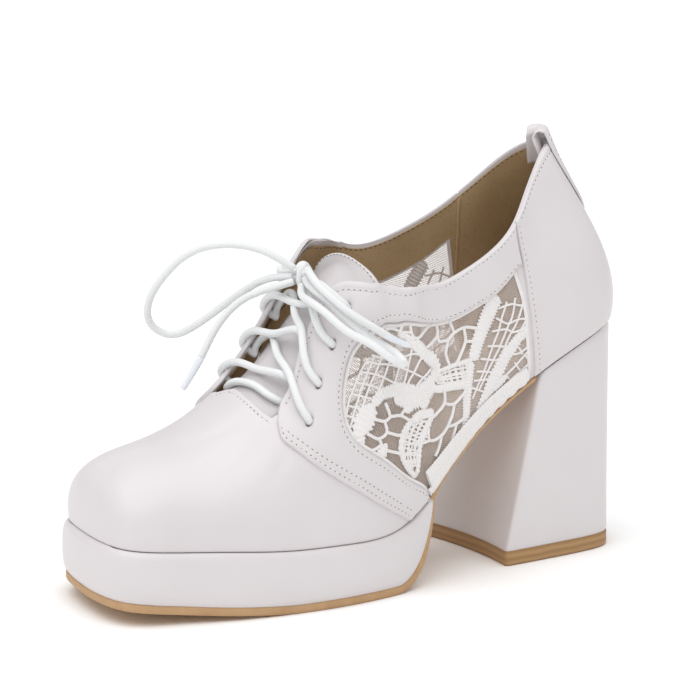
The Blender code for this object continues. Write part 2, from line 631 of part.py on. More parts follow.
def turn_points(shrinkage):
    """Curve where the platform's underside turns up to the arch, from the floor to upright."""
    reach, rise = PLATFORM_TURN[0] - shrinkage, PLATFORM_TURN[1] - shrinkage
    angles = np.radians([0, 18, 36, 54, 72, 90])
    return PLATFORM_BACK - reach * np.sin(angles), shrinkage + rise * (1 - np.cos(angles))


def sole_stations():
    """u of the forefoot's stations, from the platform's turn to the toe."""
    sides = np.arange(u_of(PLATFORM_BACK) + .45, 9.6, .5)
    return np.concatenate([sides, [9.8, 10.3, 10.7, 11, 11.25, 11.5, 11.75, 12]])


def both_sides(u, out):
    return np.stack([sole_edge(u, out), sole_edge(-u, out)], -2)


def platform():
    """Leather-covered platform, rounded at its top edge, bulging at the side, thinning out at the arch."""
    back, climb = turn_points(OUTSOLE + GAP)
    forward = sole_stations()
    u = np.concatenate([u_of(back[::-1]), forward])
    s = section_at(u)[:, 1]
    low = np.concatenate([climb[::-1], spring(section_at(forward)[:, 1]) + OUTSOLE + GAP])
    high = edge_height(s) - GAP - .2
    low = np.minimum(low, high - .6)
    rings = []
    for share, out in PLATFORM_SIDE:
        ring = both_sides(u, np.full(len(u), out))
        ring[..., 2] = (low + share * (high - low))[:, None]
        rings.append(ring)
    return slab(np.array(rings))


def outsole():
    """Sole sheet: under the platform, up its back and along the arch to the heel's front face."""
    out_s, out_z = turn_points(0)
    in_s, in_z = turn_points(OUTSOLE)
    arch = np.linspace(ARCH_START, BREAST + 1.2, 8)
    under = [[s, z] for s, z in zip(arch + 1.0, edge_height(arch) - GAP - SHANK)][::-1]
    over = [[s, z] for s, z in zip(arch, edge_height(arch) - GAP)][::-1]
    under += [ARCH_CORNER] + [[s, z] for s, z in zip(out_s, out_z)][::-1]
    over += [[ARCH_END, float(edge_height(ARCH_END)) - GAP]] + [[s, z] for s, z in zip(in_s, in_z)][::-1]
    layers = []
    for rows, thick in ((under, 0), (over, OUTSOLE)):
        rows = np.array(rows)
        back = both_sides(u_of(rows[:, 0]), np.where(rows[:, 0] < ARCH_END + 1, WAIST_OUT, OUTSOLE_OUT))
        back[..., 1] = rows[:, 0, None]
        back[..., 2] = rows[:, 1, None]
        forward = both_sides(sole_stations(), np.full(len(sole_stations()), OUTSOLE_OUT))
        forward[..., 2] = spring(section_at(sole_stations())[:, 1])[:, None] + thick
        layers.append(np.concatenate([back, forward]))
    return slab(np.array(layers))


def insole():
    u = np.array([0, .35, .7, 1, 1.3, 1.7, 2.1, 2.6, 3.1, 3.7, 4.3, 4.9, 5.4, 5.8, 6.2, 6.8, 7.5, 8.2, 8.9,
                  9.6, 10.2, 10.7, 11, 11.25, 11.5, 11.75, 12])
    rings = []
    for height in (.2, INSOLE):
        ring = both_sides(u, np.full(len(u), -(WALL + .6)))
        ring[..., 2] = edge_height(section_at(u)[:, 1])[:, None] + height
        rings.append(ring)
    return slab(np.array(rings))


def heel_outline(u):
    """Heel outline on the floor as (x, s) for stations u >= 0 of the outer side."""
    rows = np.array(HEEL_FOOT, float)
    t = np.concatenate([-rows[:0:-1, 0], rows[:, 0]])
    s = np.concatenate([rows[:0:-1, 1], rows[:, 1]])
    x = np.concatenate([-rows[:0:-1, 2], rows[:, 2]])
    return spline(t, x, u), spline(t, s, u)


def spline(t, values, at):
    """Natural cubic spline through a few values."""
    n, h = len(t), np.diff(t)
    matrix, right = np.eye(n), np.zeros(n)
    for i in range(1, n - 1):
        matrix[i, i - 1:i + 2] = h[i - 1], 2 * (h[i - 1] + h[i]), h[i]
        right[i] = 6 * ((values[i + 1] - values[i]) / h[i] - (values[i] - values[i - 1]) / h[i - 1])
    bend = np.linalg.solve(matrix, right)
    k = np.clip(np.searchsorted(t, at) - 1, 0, n - 2)
    a, b, step = t[k + 1] - at, at - t[k], h[k]
    curved = (bend[k] * a**3 + bend[k + 1] * b**3) / (6 * step)
    curved += (values[k] / step - bend[k] * step / 6) * a
    return curved + (values[k + 1] / step - bend[k + 1] * step / 6) * b


def heel_ring(drop, height=None):
    """Heel outline between its seat (drop 0) and the floor (drop 1), closed by the hollow front face."""
    last = float(u_of(BREAST))
    u = np.array([0, .3, .6, .85, 1.1, 1.4, 1.75, 2.1, 2.5, last])
    seat = sole_edge(u, np.full(len(u), 1.1))
    seat_medial = sole_edge(-u, np.full(len(u), 1.1))
    foot_x, foot_s = heel_outline(u * HEEL_FOOT[-1][0] / last)
    ring = []
    for line, side in ((seat, 1), (seat_medial, -1)):
        x = line[:, 0] + drop * (side * foot_x - line[:, 0])
        s = line[:, 1] + drop * (foot_s - line[:, 1])
        top = section_at(u)[:, 2] - GAP
        z = np.full(len(u), height) if height is not None else top + drop * (LIFT + GAP - top)
        ring.append(np.stack([x, s, z], 1))
    ring = np.stack(ring, 1)
    front = []
    for share, hollow in ((.30, .55), (.62, .92), (1.0, 1.0)):
        pair = ring[-1].copy()
        pair[:, 0] = ring[-1, :, 0] * (1 - share) + ring[-1, :, 0].mean() * share
        pair[:, 1] -= BREAST_HOLLOW * hollow * (.35 + .65 * drop)
        front.append(pair)
    return np.concatenate([ring, np.array(front)])


def heel_block():
    return slab(np.array([heel_ring(drop) for drop in (0, .3, .65, 1)]))


def top_lift():
    return slab(np.array([heel_ring(1.0, height) for height in (0.0, LIFT)]))


# Laces
def through(points, step, count=None):
    """Smooth curve through a cord's route, sampled about every step millimetres or in count parts."""
    p = np.asarray(points, float)
    chord = np.concatenate([[0], np.cumsum(np.linalg.norm(np.diff(p, axis=0), axis=1))])
    count = count or max(2, round(chord[-1] / step))
    at = np.linspace(0, chord[-1], count + 1)
    return np.stack([spline(chord, p[:, k], at) for k in range(3)], 1)


def tube(points, radius, sides=8):
    """Closed round tube along points."""
    p = np.asarray(points, float)
    ahead = np.gradient(p, axis=0)
    ahead /= np.linalg.norm(ahead, axis=1, keepdims=True)
    side = np.cross(ahead[0], [0, 0, 1])
    rings = []
    for centre, way in zip(p, ahead):
        side = side - way * (side @ way)
        side /= np.linalg.norm(side)
        up = np.cross(way, side)
        rings.append([centre + radius * (math.cos(t) * side + math.sin(t) * up)
                      for t in np.arange(sides) * 2 * math.pi / sides])
    faces = []
    for low in range(0, (len(p) - 1) * sides, sides):
        high = low + sides
        faces += [[low + i, low + (i + 1) % sides, high + (i + 1) % sides, high + i] for i in range(sides)]
    faces += [list(range(sides)), list(range((len(p) - 1) * sides, len(p) * sides))]
    return np.concatenate(rings), faces


def facing_v(side, u):
    """v of the facing's edge at u on one side."""
    line = smooth_line(FACING if side > 0 else FACING_MEDIAL, 2)
    return float(np.interp(u, line[:, 0], line[:, 1]))


def over_facing():
    """Height of a strand's middle above the upper's surface where it lies on a facing."""
    return OVERLAY_GAP + OVERLAY + CORD / 2 + .6


def lace_crossing(low):
    """Routes of the two strands that leave one pair of eyelets and dive under the opposite facings.

    Each runs straight from one facing to the other, and the inner one passes close under the outer one.
    """
    one = np.array(1.0)
    row = CROSSINGS[low]
    (u, v), (inner_u, inner_v) = EYELETS[low], EYELETS_MEDIAL[low]
    over = over_facing() * one
    start = offset(row.outer_rim, facing_v(1, row.outer_rim) + .005, over + .2)
    way = offset(-row.outer_under, facing_v(-1, row.outer_under) - .01, one * -UNDER_DEPTH) - start
    rim = offset(-row.inner_rim, facing_v(-1, row.inner_rim), over)
    under = offset(row.inner_under, facing_v(1, row.inner_under) - .01, one * -UNDER_DEPTH)
    down = np.cross(way, under - rim)
    down *= -np.sign(down[2]) / np.linalg.norm(down)
    touch = start + row.meet * way + down * (TOUCH * CORD - .5 * row.lift)
    outer = [offset(u, v, over), start, start + .5 * row.reach * way - down * row.lift,
             start + row.reach * way]
    inner = [offset(-inner_u, inner_v, over), rim, .5 * (rim + touch) - down * row.lift, touch,
             touch + .5 * (under - touch)]
    return np.array(outer), np.array(inner)


LEATHER = (.83, .81, .80)
CORD_WHITE = (.86, .87, .88)
TAN = (.47, .29, .15)
BROWN = (.33, .20, .11)


def add_laces():
    radius = CORD / 2
    one = np.array(1.0)
    for low, row in enumerate(CROSSINGS):
        strands = [make_object(row.name + end, *tube(through(route, 5), radius), CORD_WHITE, .6)
                   for route, end in zip(lace_crossing(low), ("", "_second"))]
        join = strands[0].modifiers.new("join", "BOOLEAN")
        join.operation = "UNION"
        join.object = strands[1]
        strands[1].hide_render = True
        strands[1].display_type = "WIRE"
    bar = [offset(u, v, one * -1.6) for u, v in ((7.88, .76), (7.97, .88), (8.02, 1.0), (-8.03, .90))]
    make_object("lace_bar", *tube(through(bar, 5), radius), CORD_WHITE, .6)
    for name, side, end, step in (("lace_top_lateral", 1, TOP_END, TOP_STEP),
                                  ("lace_top_medial", -1, TOP_END_MEDIAL, TOP_STEP_MEDIAL)):
        u, v = (EYELETS if side > 0 else EYELETS_MEDIAL)[3]
        rim = facing_v(side, u + step)
        route = [offset(side * u, v, over_facing() * one),
                 offset(side * (u + step), rim + .01, (over_facing() + .2) * one), np.array(end)]
        make_object(name, *tube(through(route, 4), radius), CORD_WHITE, .6)
    add_knot()
    for name, route in (("lace_loop_left", LOOP_LEFT), ("lace_end_left", END_LEFT),
                        ("lace_loop_right", LOOP_RIGHT), ("lace_end_right", END_RIGHT)):
        add_cord(name, route)


def add_knot():
    """The bow's knot as one rounded lump."""
    sides, centre, half = 12, np.array(KNOT), np.array(KNOT_SIZE) / 2
    turns = np.arange(sides) * 2 * math.pi / sides
    verts, faces = [], []
    for climb in np.radians([-60, -30, 0, 30, 60]):
        ring = np.stack([np.cos(turns) * math.cos(climb), np.sin(turns) * math.cos(climb),
                         np.full(sides, math.sin(climb))], 1)
        verts += list(centre + half * ring)
    verts += [centre - half * [0, 0, 1], centre + half * [0, 0, 1]]
    for i in range(sides):
        after = (i + 1) % sides
        for low in range(0, 4 * sides, sides):
            faces.append([low + i, low + after, low + sides + after, low + sides + i])
        faces += [[5 * sides, after, i], [5 * sides + 1, 4 * sides + i, 4 * sides + after]]
    make_object("lace_knot", verts, faces, CORD_WHITE, .6)


def add_cord(name, route):
    """Free lace end or loop as a bevelled curve."""
    points = through(route, 7)
    curve = bpy.data.curves.new(name, "CURVE")
    curve.dimensions = "3D"
    curve.bevel_depth = CORD / 2 * .001
    curve.bevel_resolution = 2
    curve.use_fill_caps = True
    path = curve.splines.new("POLY")
    path.points.add(len(points) - 1)
    for spot, (x, s, z) in zip(path.points, points):
        spot.co = ((x - CENTRE[0]) * .001, (CENTRE[1] - s) * .001, z * .001, 1)
    obj = bpy.data.objects.new(name, curve)
    bpy.context.collection.objects.link(obj)
    curve.materials.append(material(name, CORD_WHITE, .6))


def build():
    for obj in list(bpy.data.objects):
        bpy.data.objects.remove(obj, do_unlink=True)
    make_object("outsole", *outsole(), TAN, .6, 30)
    make_object("platform", *platform(), LEATHER, .45, 50)
    make_object("heel_block", *heel_block(), LEATHER, .4, 40)
    make_object("top_lift", *top_lift(), BROWN, .6, 30)
    make_object("insole", *insole(), TAN, .7, 30)
    make_object("upper", *upper(), LEATHER, .45)
    make_object("quarter_lateral", *quarter(1), LEATHER, .45)
    make_object("quarter_medial", *quarter(-1), LEATHER, .45)
    make_object("counter", *counter(), LEATHER, .45)
    make_object("lace_panel_lateral", *lace_panel(1), CORD_WHITE, .8)
    make_object("lace_panel_medial", *lace_panel(-1), CORD_WHITE, .8)
    make_object("tongue", *tongue(), LEATHER, .45)
    make_object("pull_loop", *pull_loop(), LEATHER, .5)
    add_laces()


build()
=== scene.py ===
# %% [markdown]
# # A white lace-up platform shoe
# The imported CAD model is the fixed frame. This lesson dresses it: leather with rolled and stitched edges,
# lace made of real threads, cord laces through the eyelets, and the sole. The toe points to -Y, the outer
# side is +X and the floor is z = 0. Sizes are in millimetres until a piece is placed.

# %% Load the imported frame
import math
from collections import namedtuple

import bmesh
import bpy
import numpy as np
from mathutils import Matrix, Vector
from mathutils.geometry import delaunay_2d_cdt
from mathutils.kdtree import KDTree


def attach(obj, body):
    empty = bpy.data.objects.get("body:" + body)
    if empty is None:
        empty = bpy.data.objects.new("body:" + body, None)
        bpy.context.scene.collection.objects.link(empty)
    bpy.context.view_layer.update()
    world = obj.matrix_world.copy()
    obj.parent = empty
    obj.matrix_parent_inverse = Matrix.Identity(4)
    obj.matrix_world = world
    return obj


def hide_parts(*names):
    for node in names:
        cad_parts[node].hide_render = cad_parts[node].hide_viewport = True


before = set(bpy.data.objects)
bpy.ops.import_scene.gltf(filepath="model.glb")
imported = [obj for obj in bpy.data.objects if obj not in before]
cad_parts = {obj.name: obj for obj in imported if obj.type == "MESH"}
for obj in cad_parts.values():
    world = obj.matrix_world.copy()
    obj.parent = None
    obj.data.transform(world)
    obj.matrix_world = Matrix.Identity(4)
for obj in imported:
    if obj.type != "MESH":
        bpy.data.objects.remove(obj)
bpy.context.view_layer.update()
MM = .001
CENTRE = (1.28, 115.26)    # x and s of the shoe's middle; s counts from the heel's back towards the toe
SIDES = ((1, "lateral"), (-1, "medial"))   # sign of x on the outer and the inner side, and their names


def placed(points):
    """Points (x, s, z) in millimetres as places in the frame, in metres."""
    p = np.asarray(points, float)
    return np.stack([p[..., 0] - CENTRE[0], CENTRE[1] - p[..., 1], p[..., 2]], -1) * MM


def unit(vectors):
    """Vectors brought to length one."""
    return vectors / np.linalg.norm(vectors, axis=-1, keepdims=True)


def run_along(points):
    """Distance along a line from its start to each of its points."""
    return np.concatenate([[0], np.cumsum(np.linalg.norm(np.diff(points, axis=0), axis=1))])


print("CAD nodes:", len(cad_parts))

# %% [markdown]
# ## Camera, floor and light
# The camera stands where the photograph was taken: to the front of the outer side, a little above the shoe,
# with a long lens. The floor is a large white sheet. An even sky and one wide soft sun give the pale shadows
# of a product picture, and the plain view transform keeps white leather white.

# %% Camera
AZIMUTH, ELEVATION, ROLL = np.radians([57.6, 11.58, -.11])
DISTANCE = 1400.0
TARGET = np.array([0, 114.8, 87.6])
PICTURE = 700              # pixels on a side of the photograph
FOCAL = 3612.0             # focal length in those pixels
SENSOR = 36.0
TOWARDS = np.array([math.sin(AZIMUTH) * math.cos(ELEVATION), math.cos(AZIMUTH) * math.cos(ELEVATION),
                    math.sin(ELEVATION)])
RIGHT = np.array([math.cos(AZIMUTH), -math.sin(AZIMUTH), 0])
UP = np.array([-math.sin(ELEVATION) * math.sin(AZIMUTH), -math.sin(ELEVATION) * math.cos(AZIMUTH),
               math.cos(ELEVATION)])
RIGHT, UP = (math.cos(ROLL) * RIGHT - math.sin(ROLL) * UP, math.sin(ROLL) * RIGHT + math.cos(ROLL) * UP)
EYE = TARGET + DISTANCE * TOWARDS


def to_pixels(points):
    """Where points (x, s, z) fall in the photograph's frame."""
    away = np.asarray(points, float) - EYE
    depth = -(away @ TOWARDS)
    return np.stack([PICTURE / 2 + FOCAL * (away @ RIGHT) / depth,
                     PICTURE / 2 - FOCAL * (away @ UP) / depth], -1)


lens = bpy.data.cameras.new("camera")
lens.sensor_width = SENSOR
lens.lens = FOCAL / PICTURE * SENSOR
camera = bpy.data.objects.new("camera", lens)
bpy.context.collection.objects.link(camera)
flip = np.array([1, -1, 1])
axes = Matrix([RIGHT * flip, UP * flip, TOWARDS * flip]).transposed().to_4x4()
axes.translation = placed(EYE)
camera.matrix_world = axes
bpy.context.scene.camera = camera
print("lens:", round(lens.lens, 1), "mm")

# %% One function for colours and one for nodes


def linear(colour):
    """An sRGB hex colour as linear RGBA."""
    parts = [int(colour[k:k + 2], 16) / 255 for k in (1, 3, 5)]
    return tuple(c / 12.92 if c < .04045 else ((c + .055) / 1.055)**2.4 for c in parts) + (1,)


def node(tree, kind, inputs=None, **settings):
    """Add a node with its settings; inputs are values or other nodes' sockets."""
    made = tree.nodes.new(kind)
    for key, value in settings.items():
        setattr(made, key, value)
    for key, value in (inputs or {}).items():
        if isinstance(value, bpy.types.NodeSocket):
            tree.links.new(value, made.inputs[key])
        else:
            made.inputs[key].default_value = value
    return made


def start_material(name, **sockets):
    """New material: its tree, its shader with the given sockets, and Object coordinates in metres."""
    made = bpy.data.materials.new(name)
    made.use_nodes = True
    tree = made.node_tree
    shader = tree.nodes["Principled BSDF"]
    for key, value in sockets.items():
        shader.inputs[key.replace("_", " ")].default_value = value
    return made, tree, shader, node(tree, "ShaderNodeTexCoord").outputs["Object"]


def per_metre(size):
    """Texture scale that gives features of this size in millimetres."""
    return 1 / (size * MM)


print("palest leather, linear:", [round(c, 3) for c in linear("#DDD8D9")[:3]])

# %% Floor, sky and sun
FLOOR_HALF = 8.0
SKY = .58                  # strength of the even light from all sides
SUN = 1.95                 # strength of the wide soft light from above the toe
SUN_FROM = (.16, -.24, 1.0)
SUN_SPREAD = 75            # degrees across, so that its shadows are soft
floor_mesh = bpy.data.meshes.new("floor")
floor_mesh.from_pydata([(x * FLOOR_HALF, y * FLOOR_HALF, 0) for x, y in ((-1, -1), (1, -1), (1, 1), (-1, 1))],
                       [], [(0, 1, 2, 3)])
floor = bpy.data.objects.new("floor", floor_mesh)
bpy.context.collection.objects.link(floor)
# Matt white paper sweep: no gloss, so the shoe casts only a soft shadow on it
paper, tree, shader, spot = start_material("matt white paper", Base_Color=linear("#FFFFFF"), Roughness=1.0,
                                          Specular_IOR_Level=.0)
floor_mesh.materials.append(paper)
world = bpy.data.worlds.new("studio")
world.use_nodes = True
world.node_tree.nodes["Background"].inputs["Color"].default_value = linear("#FFFFFF")
world.node_tree.nodes["Background"].inputs["Strength"].default_value = SKY
bpy.context.scene.world = world
sun = bpy.data.objects.new("soft sun", bpy.data.lights.new("soft sun", "SUN"))
sun.data.energy = SUN
sun.data.angle = math.radians(SUN_SPREAD)
sun.rotation_euler = Vector(SUN_FROM).to_track_quat("Z", "Y").to_euler()
bpy.context.collection.objects.link(sun)
bpy.context.scene.view_settings.view_transform = "Standard"
print("light: sky", SKY, "and sun", SUN)

# %% [markdown]
# ## The upper's surface
# Leather is pulled over a last, so every piece of the upper follows one smooth surface. It is the same
# function as in the CAD: thirteen sections round the shoe, each one curve from the sole edge to the collar
# or to the ridge of the instep. A place on it is (u, v): u counts the sections from the heel's back to the
# toe, negative on the inner side, and v climbs from 0 to 1.

# %% Sections
LAST_LENGTH = 232.0
HALF_BALL = 44.5
HEEL_HEIGHT = 92.5
BALL_HEIGHT = 24.0
BACK_HEIGHT = 162.5
THROAT_FILL = (5.65, .38, 1.7)     # where the wall is filled out beside the throat: u, reach in u, amount
SECTIONS = [
    # along, lateral, medial, foot, top_along, top_lateral, top_medial, top_half, aim, four curve sizes
    (.000, .000, .000, 1.000, .101, 1.000, 1.000, .000, 0, 6.8, 26, 10.5, 25),
    (.026, .427, .427, .978, .127, .982, .991, .146, 52, 6.3, 25, 10.5, 25),
    (.106, .573, .551, .876, .177, .908, .935, .303, 83, 6.0, 22, 7.0, 22),
    (.200, .573, .539, .715, .239, .809, .852, .472, 90, 5.5, 22, 3.5, 20),
    (.304, .607, .517, .496, .334, .738, .782, .562, 90, 5.5, 22, 2.5, 18),
    (.407, .764, .618, .241, .442, .728, .772, .596, 90, 5.0, 22, 4.0, 22),
    (.506, .921, .809, .022, .515, .849, .849, .000, 90, 3.5, 24, 36.0, 2),
    (.619, 1.000, .921, -.007, .610, .683, .683, .000, 90, 3.0, 22, 30.0, 1),
    (.726, .978, .944, .003, .705, .505, .505, .000, 90, 3.0, 20, 25.0, 0),
    (.825, .899, .899, .032, .795, .409, .409, .000, 90, 3.0, 18, 26.0, 0),
    (.912, .760, .820, .050, .864, .378, .378, .000, 96, 2.5, 17, 26.0, 1),
    (.978, .560, .607, .073, .899, .369, .369, .000, 140, 2.0, 17, 22.0, 4),
    (.995, .000, .000, .080, .912, .364, .364, .000, 180, 2.0, 17, 15.0, 4),
]
TOE = len(SECTIONS) - 1
RIDGE = 6                  # u where the two sides start to meet along the instep
TOE_TURN = .09             # how far the toe's outer corner leads its inner one, as a share of x


def section_ring():
    """One row of curve values per section, round the shoe: outer side to the toe, inner side back."""
    sides = {1: [], -1: []}
    for (along, lateral, medial, foot, top_along, top_lateral, top_medial, top_half, aim,
         *shape) in SECTIONS:
        angle = math.radians(aim)
        for side, half, top in ((1, lateral, top_lateral), (-1, medial, top_medial)):
            x = side * half * HALF_BALL
            lead = TOE_TURN * x if along == SECTIONS[-2][0] else 0
            sides[side].append([x, along * LAST_LENGTH + lead,
                                BALL_HEIGHT + foot * (HEEL_HEIGHT - BALL_HEIGHT),
                                side * top_half * HALF_BALL, top_along * LAST_LENGTH, top * BACK_HEIGHT,
                                side * math.sin(angle), -math.cos(angle), *shape])
    return np.array(sides[1] + sides[-1][-2:0:-1])


def ring_slopes(ring):
    """Slopes of a closed cubic spline, with the tops' x kept from overshooting the middle line."""
    count = len(ring)
    ahead, behind = np.roll(ring, -1, axis=0), np.roll(ring, 1, axis=0)
    matrix = 4 * np.eye(count) + np.roll(np.eye(count), 1, 1) + np.roll(np.eye(count), -1, 1)
    slopes = np.linalg.solve(matrix, 3 * (ahead - behind))
    rise, fall = (ring - behind)[:, 3], (ahead - ring)[:, 3]
    total = np.where(np.abs(rise + fall) < 1e-9, 1, rise + fall)
    slopes[:, 3] = np.where(rise * fall > 0, 2 * rise * fall / total, 0)
    return slopes


RING = section_ring()
SLOPES = ring_slopes(RING)


def section_at(u):
    """Curve values of the section at u, between the rows of the table."""
    u = np.asarray(u, float) % len(RING)
    first = np.floor(u).astype(int) % len(RING)
    t = (u - np.floor(u))[..., None]
    second = (first + 1) % len(RING)
    return ((2 * t**3 - 3 * t**2 + 1) * RING[first] + (t**3 - 2 * t**2 + t) * SLOPES[first]
            + (3 * t**2 - 2 * t**3) * RING[second] + (t**3 - t**2) * SLOPES[second])


def aim_of(values):
    """Unit direction in plan that the wall faces."""
    return unit(values[..., 6:8])


def surface(u, v):
    """Point (x, s, z) on the upper's outer surface."""
    values = section_at(u)
    v = np.asarray(v, float)[..., None]
    w = 1 - v
    foot, top, aim = values[..., 0:3], values[..., 3:6], aim_of(values)
    low = foot + np.concatenate([aim * values[..., 8:9], values[..., 9:10]], -1)
    high = top + np.concatenate([aim * values[..., 10:11], -values[..., 11:12]], -1)
    point = w**3 * foot + 3 * w * w * v * low + 3 * w * v * v * high + v**3 * top
    middle, reach, amount = THROAT_FILL
    fill = amount * np.exp(-((np.abs(np.asarray(u, float)) - middle) / reach)**2)[..., None]
    point[..., 0:2] += aim * fill * v * v * (3 - 2 * v)
    return point


def facing_out(u, v, h=1e-3):
    """Unit normal of the surface."""
    u = np.asarray(u, float)
    within = np.clip(np.asarray(v, float), 2e-3, 1 - 2e-3)
    along = surface(u + h, within) - surface(u - h, within)
    up = surface(u, within + h) - surface(u, within - h)
    return unit(np.cross(along, up))


def offset(u, v, distance):
    """Point of the surface moved out by distance; on the ridge both sides agree."""
    u, v = np.broadcast_arrays(np.asarray(u, float), np.asarray(v, float))
    normal = facing_out(u, v)
    ridge = ((v > .9999) & (np.abs(u) >= RIDGE))[..., None]
    both = unit(normal + facing_out(-u, v))
    return surface(u, v) + np.where(ridge, both, normal) * np.asarray(distance, float)[..., None]


print("toe tip:", np.round(surface(TOE, 0), 1))

# %% Lines drawn on the surface, for the outer side and then the inner side
FACING = [(6.78, .835), (7.21, .79), (7.57, .705), (7.80, .675), (7.93, .62)]
FACING_MEDIAL = [(6.27, .85), (6.58, .852), (6.90, .84), (7.30, .80), (7.77, .78), (8.12, .80), (8.22, .76)]
VAMP_SEAM = [(7.93, .62), (7.95, .55), (7.85, .494), (7.52, .378), (7.15, .282), (6.67, .185), (6.11, .081),
             (5.85, .015)]
VAMP_SEAM_MEDIAL = [(8.22, .76), (8.22, .66), (8.02, .53), (7.60, .39), (7.15, .282), (6.67, .185),
                    (6.11, .081), (5.85, .015)]
COLLAR = [(4.74, 1.0), (4.87, .985), (5.03, .952), (5.14, .92), (5.30, .858), (5.46, .80), (5.63, .752),
          (5.82, .716), (6.08, .709), (6.23, .725), (6.37, .752), (6.46, .776), (6.63, .815), (6.78, .835)]
COLLAR_MEDIAL = [(4.97, 1.0), (5.27, .946), (5.56, .872), (5.84, .819), (6.05, .815), (6.27, .85)]
WINDOW_SIDE = [(5.30, .0), (5.55, .108), (6.10, .22), (6.62, .317), (6.83, .375), (6.93, .444),
               (6.89, .525), (6.70, .594), (6.40, .603), (6.15, .593)]
WINDOW_TOP = [(6.15, .593), (5.88, .602), (5.66, .627), (5.34, .701), (5.10, .760), (4.88, .788),
              (4.68, .788), (4.42, .767), (4.19, .746), (3.90, .729), (3.60, .722), (3.35, .732),
              (3.15, .745), (2.96, .752)]
COUNTER_SEAM = [(2.75, 1.0), (2.78, .75), (2.91, .51), (3.00, .26), (2.98, .015)]
TONGUE_SEAM = [(8.17, 1.0), (8.17, .865), (8.09, .734), (7.99, .66)]
TONGUE_SEAM_MEDIAL = [(8.17, 1.0), (8.22, .92), (8.24, .87)]
EYELETS = [(7.45, .525), (7.18, .61), (6.87, .668), (6.57, .707)]
EYELETS_MEDIAL = [(7.78, .715), (7.36, .735), (6.98, .772), (6.62, .790)]
LOW_EDGE = .015            # v where the leather laid over the wall starts, clear of the sole
SEAM_GAP = .035            # u between counter and quarter
GATE_FOOT = (5.36, LOW_EDGE)       # where the window's front edge starts on the quarter
FACING_STEP = .025         # v by which the wall stops behind the facing's edge
SHEET = np.array([24.0, 75.0])     # millimetres of one step of u and of v on the flat drawing sheet
EDGE_STEP = .9             # spacing of the points on a panel's outline


def smooth_line(points, step=EDGE_STEP):
    """Curve through a few points of the drawing sheet, sampled about every step millimetres."""
    p = np.asarray(points, float) * SHEET
    ends = np.concatenate([[2 * p[0] - p[1]], p, [2 * p[-1] - p[-2]]])
    line = []
    for a, b, c, d in zip(ends, ends[1:], ends[2:], ends[3:]):
        count = max(1, round(np.linalg.norm(c - b) / step))
        for t in np.arange(count) / count:
            line.append(.5 * (2 * b + (c - a) * t + (2 * a - 5 * b + 4 * c - d) * t**2
                              + (3 * b - a - 3 * c + d) * t**3))
    line.append(p[-1])
    return np.array(line) / SHEET


def straight(start, end, step=EDGE_STEP):
    """Straight edge of the sheet."""
    start, end = np.array(start, float), np.array(end, float)
    count = max(1, round(np.linalg.norm((end - start) * SHEET) / step))
    return start + np.linspace(0, 1, count + 1)[:, None] * (end - start)


def outline(*edges):
    """Join edges, end to start, into one closed outline."""
    line = []
    for point in np.concatenate([np.asarray(edge, float) for edge in edges]):
        if not line or np.linalg.norm(point - line[-1]) > 1e-6:
            line.append(point)
    if np.linalg.norm(line[0] - line[-1]) < 1e-6:
        line.pop()
    return np.array(line)


def shift(line, distance, closed=False):
    """Line moved to its right on the drawing sheet."""
    p = np.asarray(line, float) * SHEET
    if closed:
        ahead, behind = np.roll(p, -1, axis=0) - p, p - np.roll(p, 1, axis=0)
    else:
        steps = np.diff(p, axis=0)
        ahead, behind = np.concatenate([steps, steps[-1:]]), np.concatenate([steps[:1], steps])
    normals = [unit(np.stack([d[:, 1], -d[:, 0]], 1)) for d in (ahead, behind)]
    mean = normals[0] + normals[1]
    mean /= np.maximum((mean * normals[0]).sum(1, keepdims=True), .3)
    return (p + mean * distance) / SHEET


def inside(points, loop):
    """Which points lie inside a closed outline."""
    hit = np.zeros(len(points), bool)
    for a, b in zip(loop, np.roll(loop, -1, axis=0)):
        spans = (a[1] > points[:, 1]) != (b[1] > points[:, 1])
        run = (b[0] - a[0]) * (points[:, 1] - a[1]) / (b[1] - a[1] + 1e-15) + a[0]
        hit ^= spans & (points[:, 0] < run)
    return hit


def mirrored(line):
    return np.asarray(line, float) * [-1, 1]


def side_lines(side):
    """Collar, facing, vamp seam, tongue seam and eyelets of one side."""
    if side > 0:
        return COLLAR, FACING, VAMP_SEAM, TONGUE_SEAM, EYELETS
    return COLLAR_MEDIAL, FACING_MEDIAL, VAMP_SEAM_MEDIAL, TONGUE_SEAM_MEDIAL, EYELETS_MEDIAL


def facing_v(side, u):
    """v of the facing's edge at u on one side."""
    line = smooth_line(FACING if side > 0 else FACING_MEDIAL, 2)
    return float(np.interp(u, line[:, 0], line[:, 1]))


print("seam of the vamp:", len(smooth_line(VAMP_SEAM, 1)), "points")

# %% [markdown]
# ## Cord laces
# Round white cord, about 3 mm thick. A strand comes up through each eyelet, lies on the facing, crosses the
# tongue and dives under the other facing to the next eyelet. The bow has two loops and two ends, each with a
# clear plastic tip. Each strand is a tube swept along a smooth curve; its UV map runs along and round the
# cord, so the braid in the material follows it.

# %% Cord tools
CORD = 3.0
OVERLAY = 1.5              # leather laid over the wall, from the wall's surface up
WALL = 1.5
LIE = OVERLAY + CORD / 2 + .1      # height of a strand's middle where it lies on a facing
CORD_STEP = .8             # spacing of the points along a cord
ACROSS = (.3, .2, 1)       # any direction that no cord starts in
ROUNDED = .8               # width of a cord's first and last ring


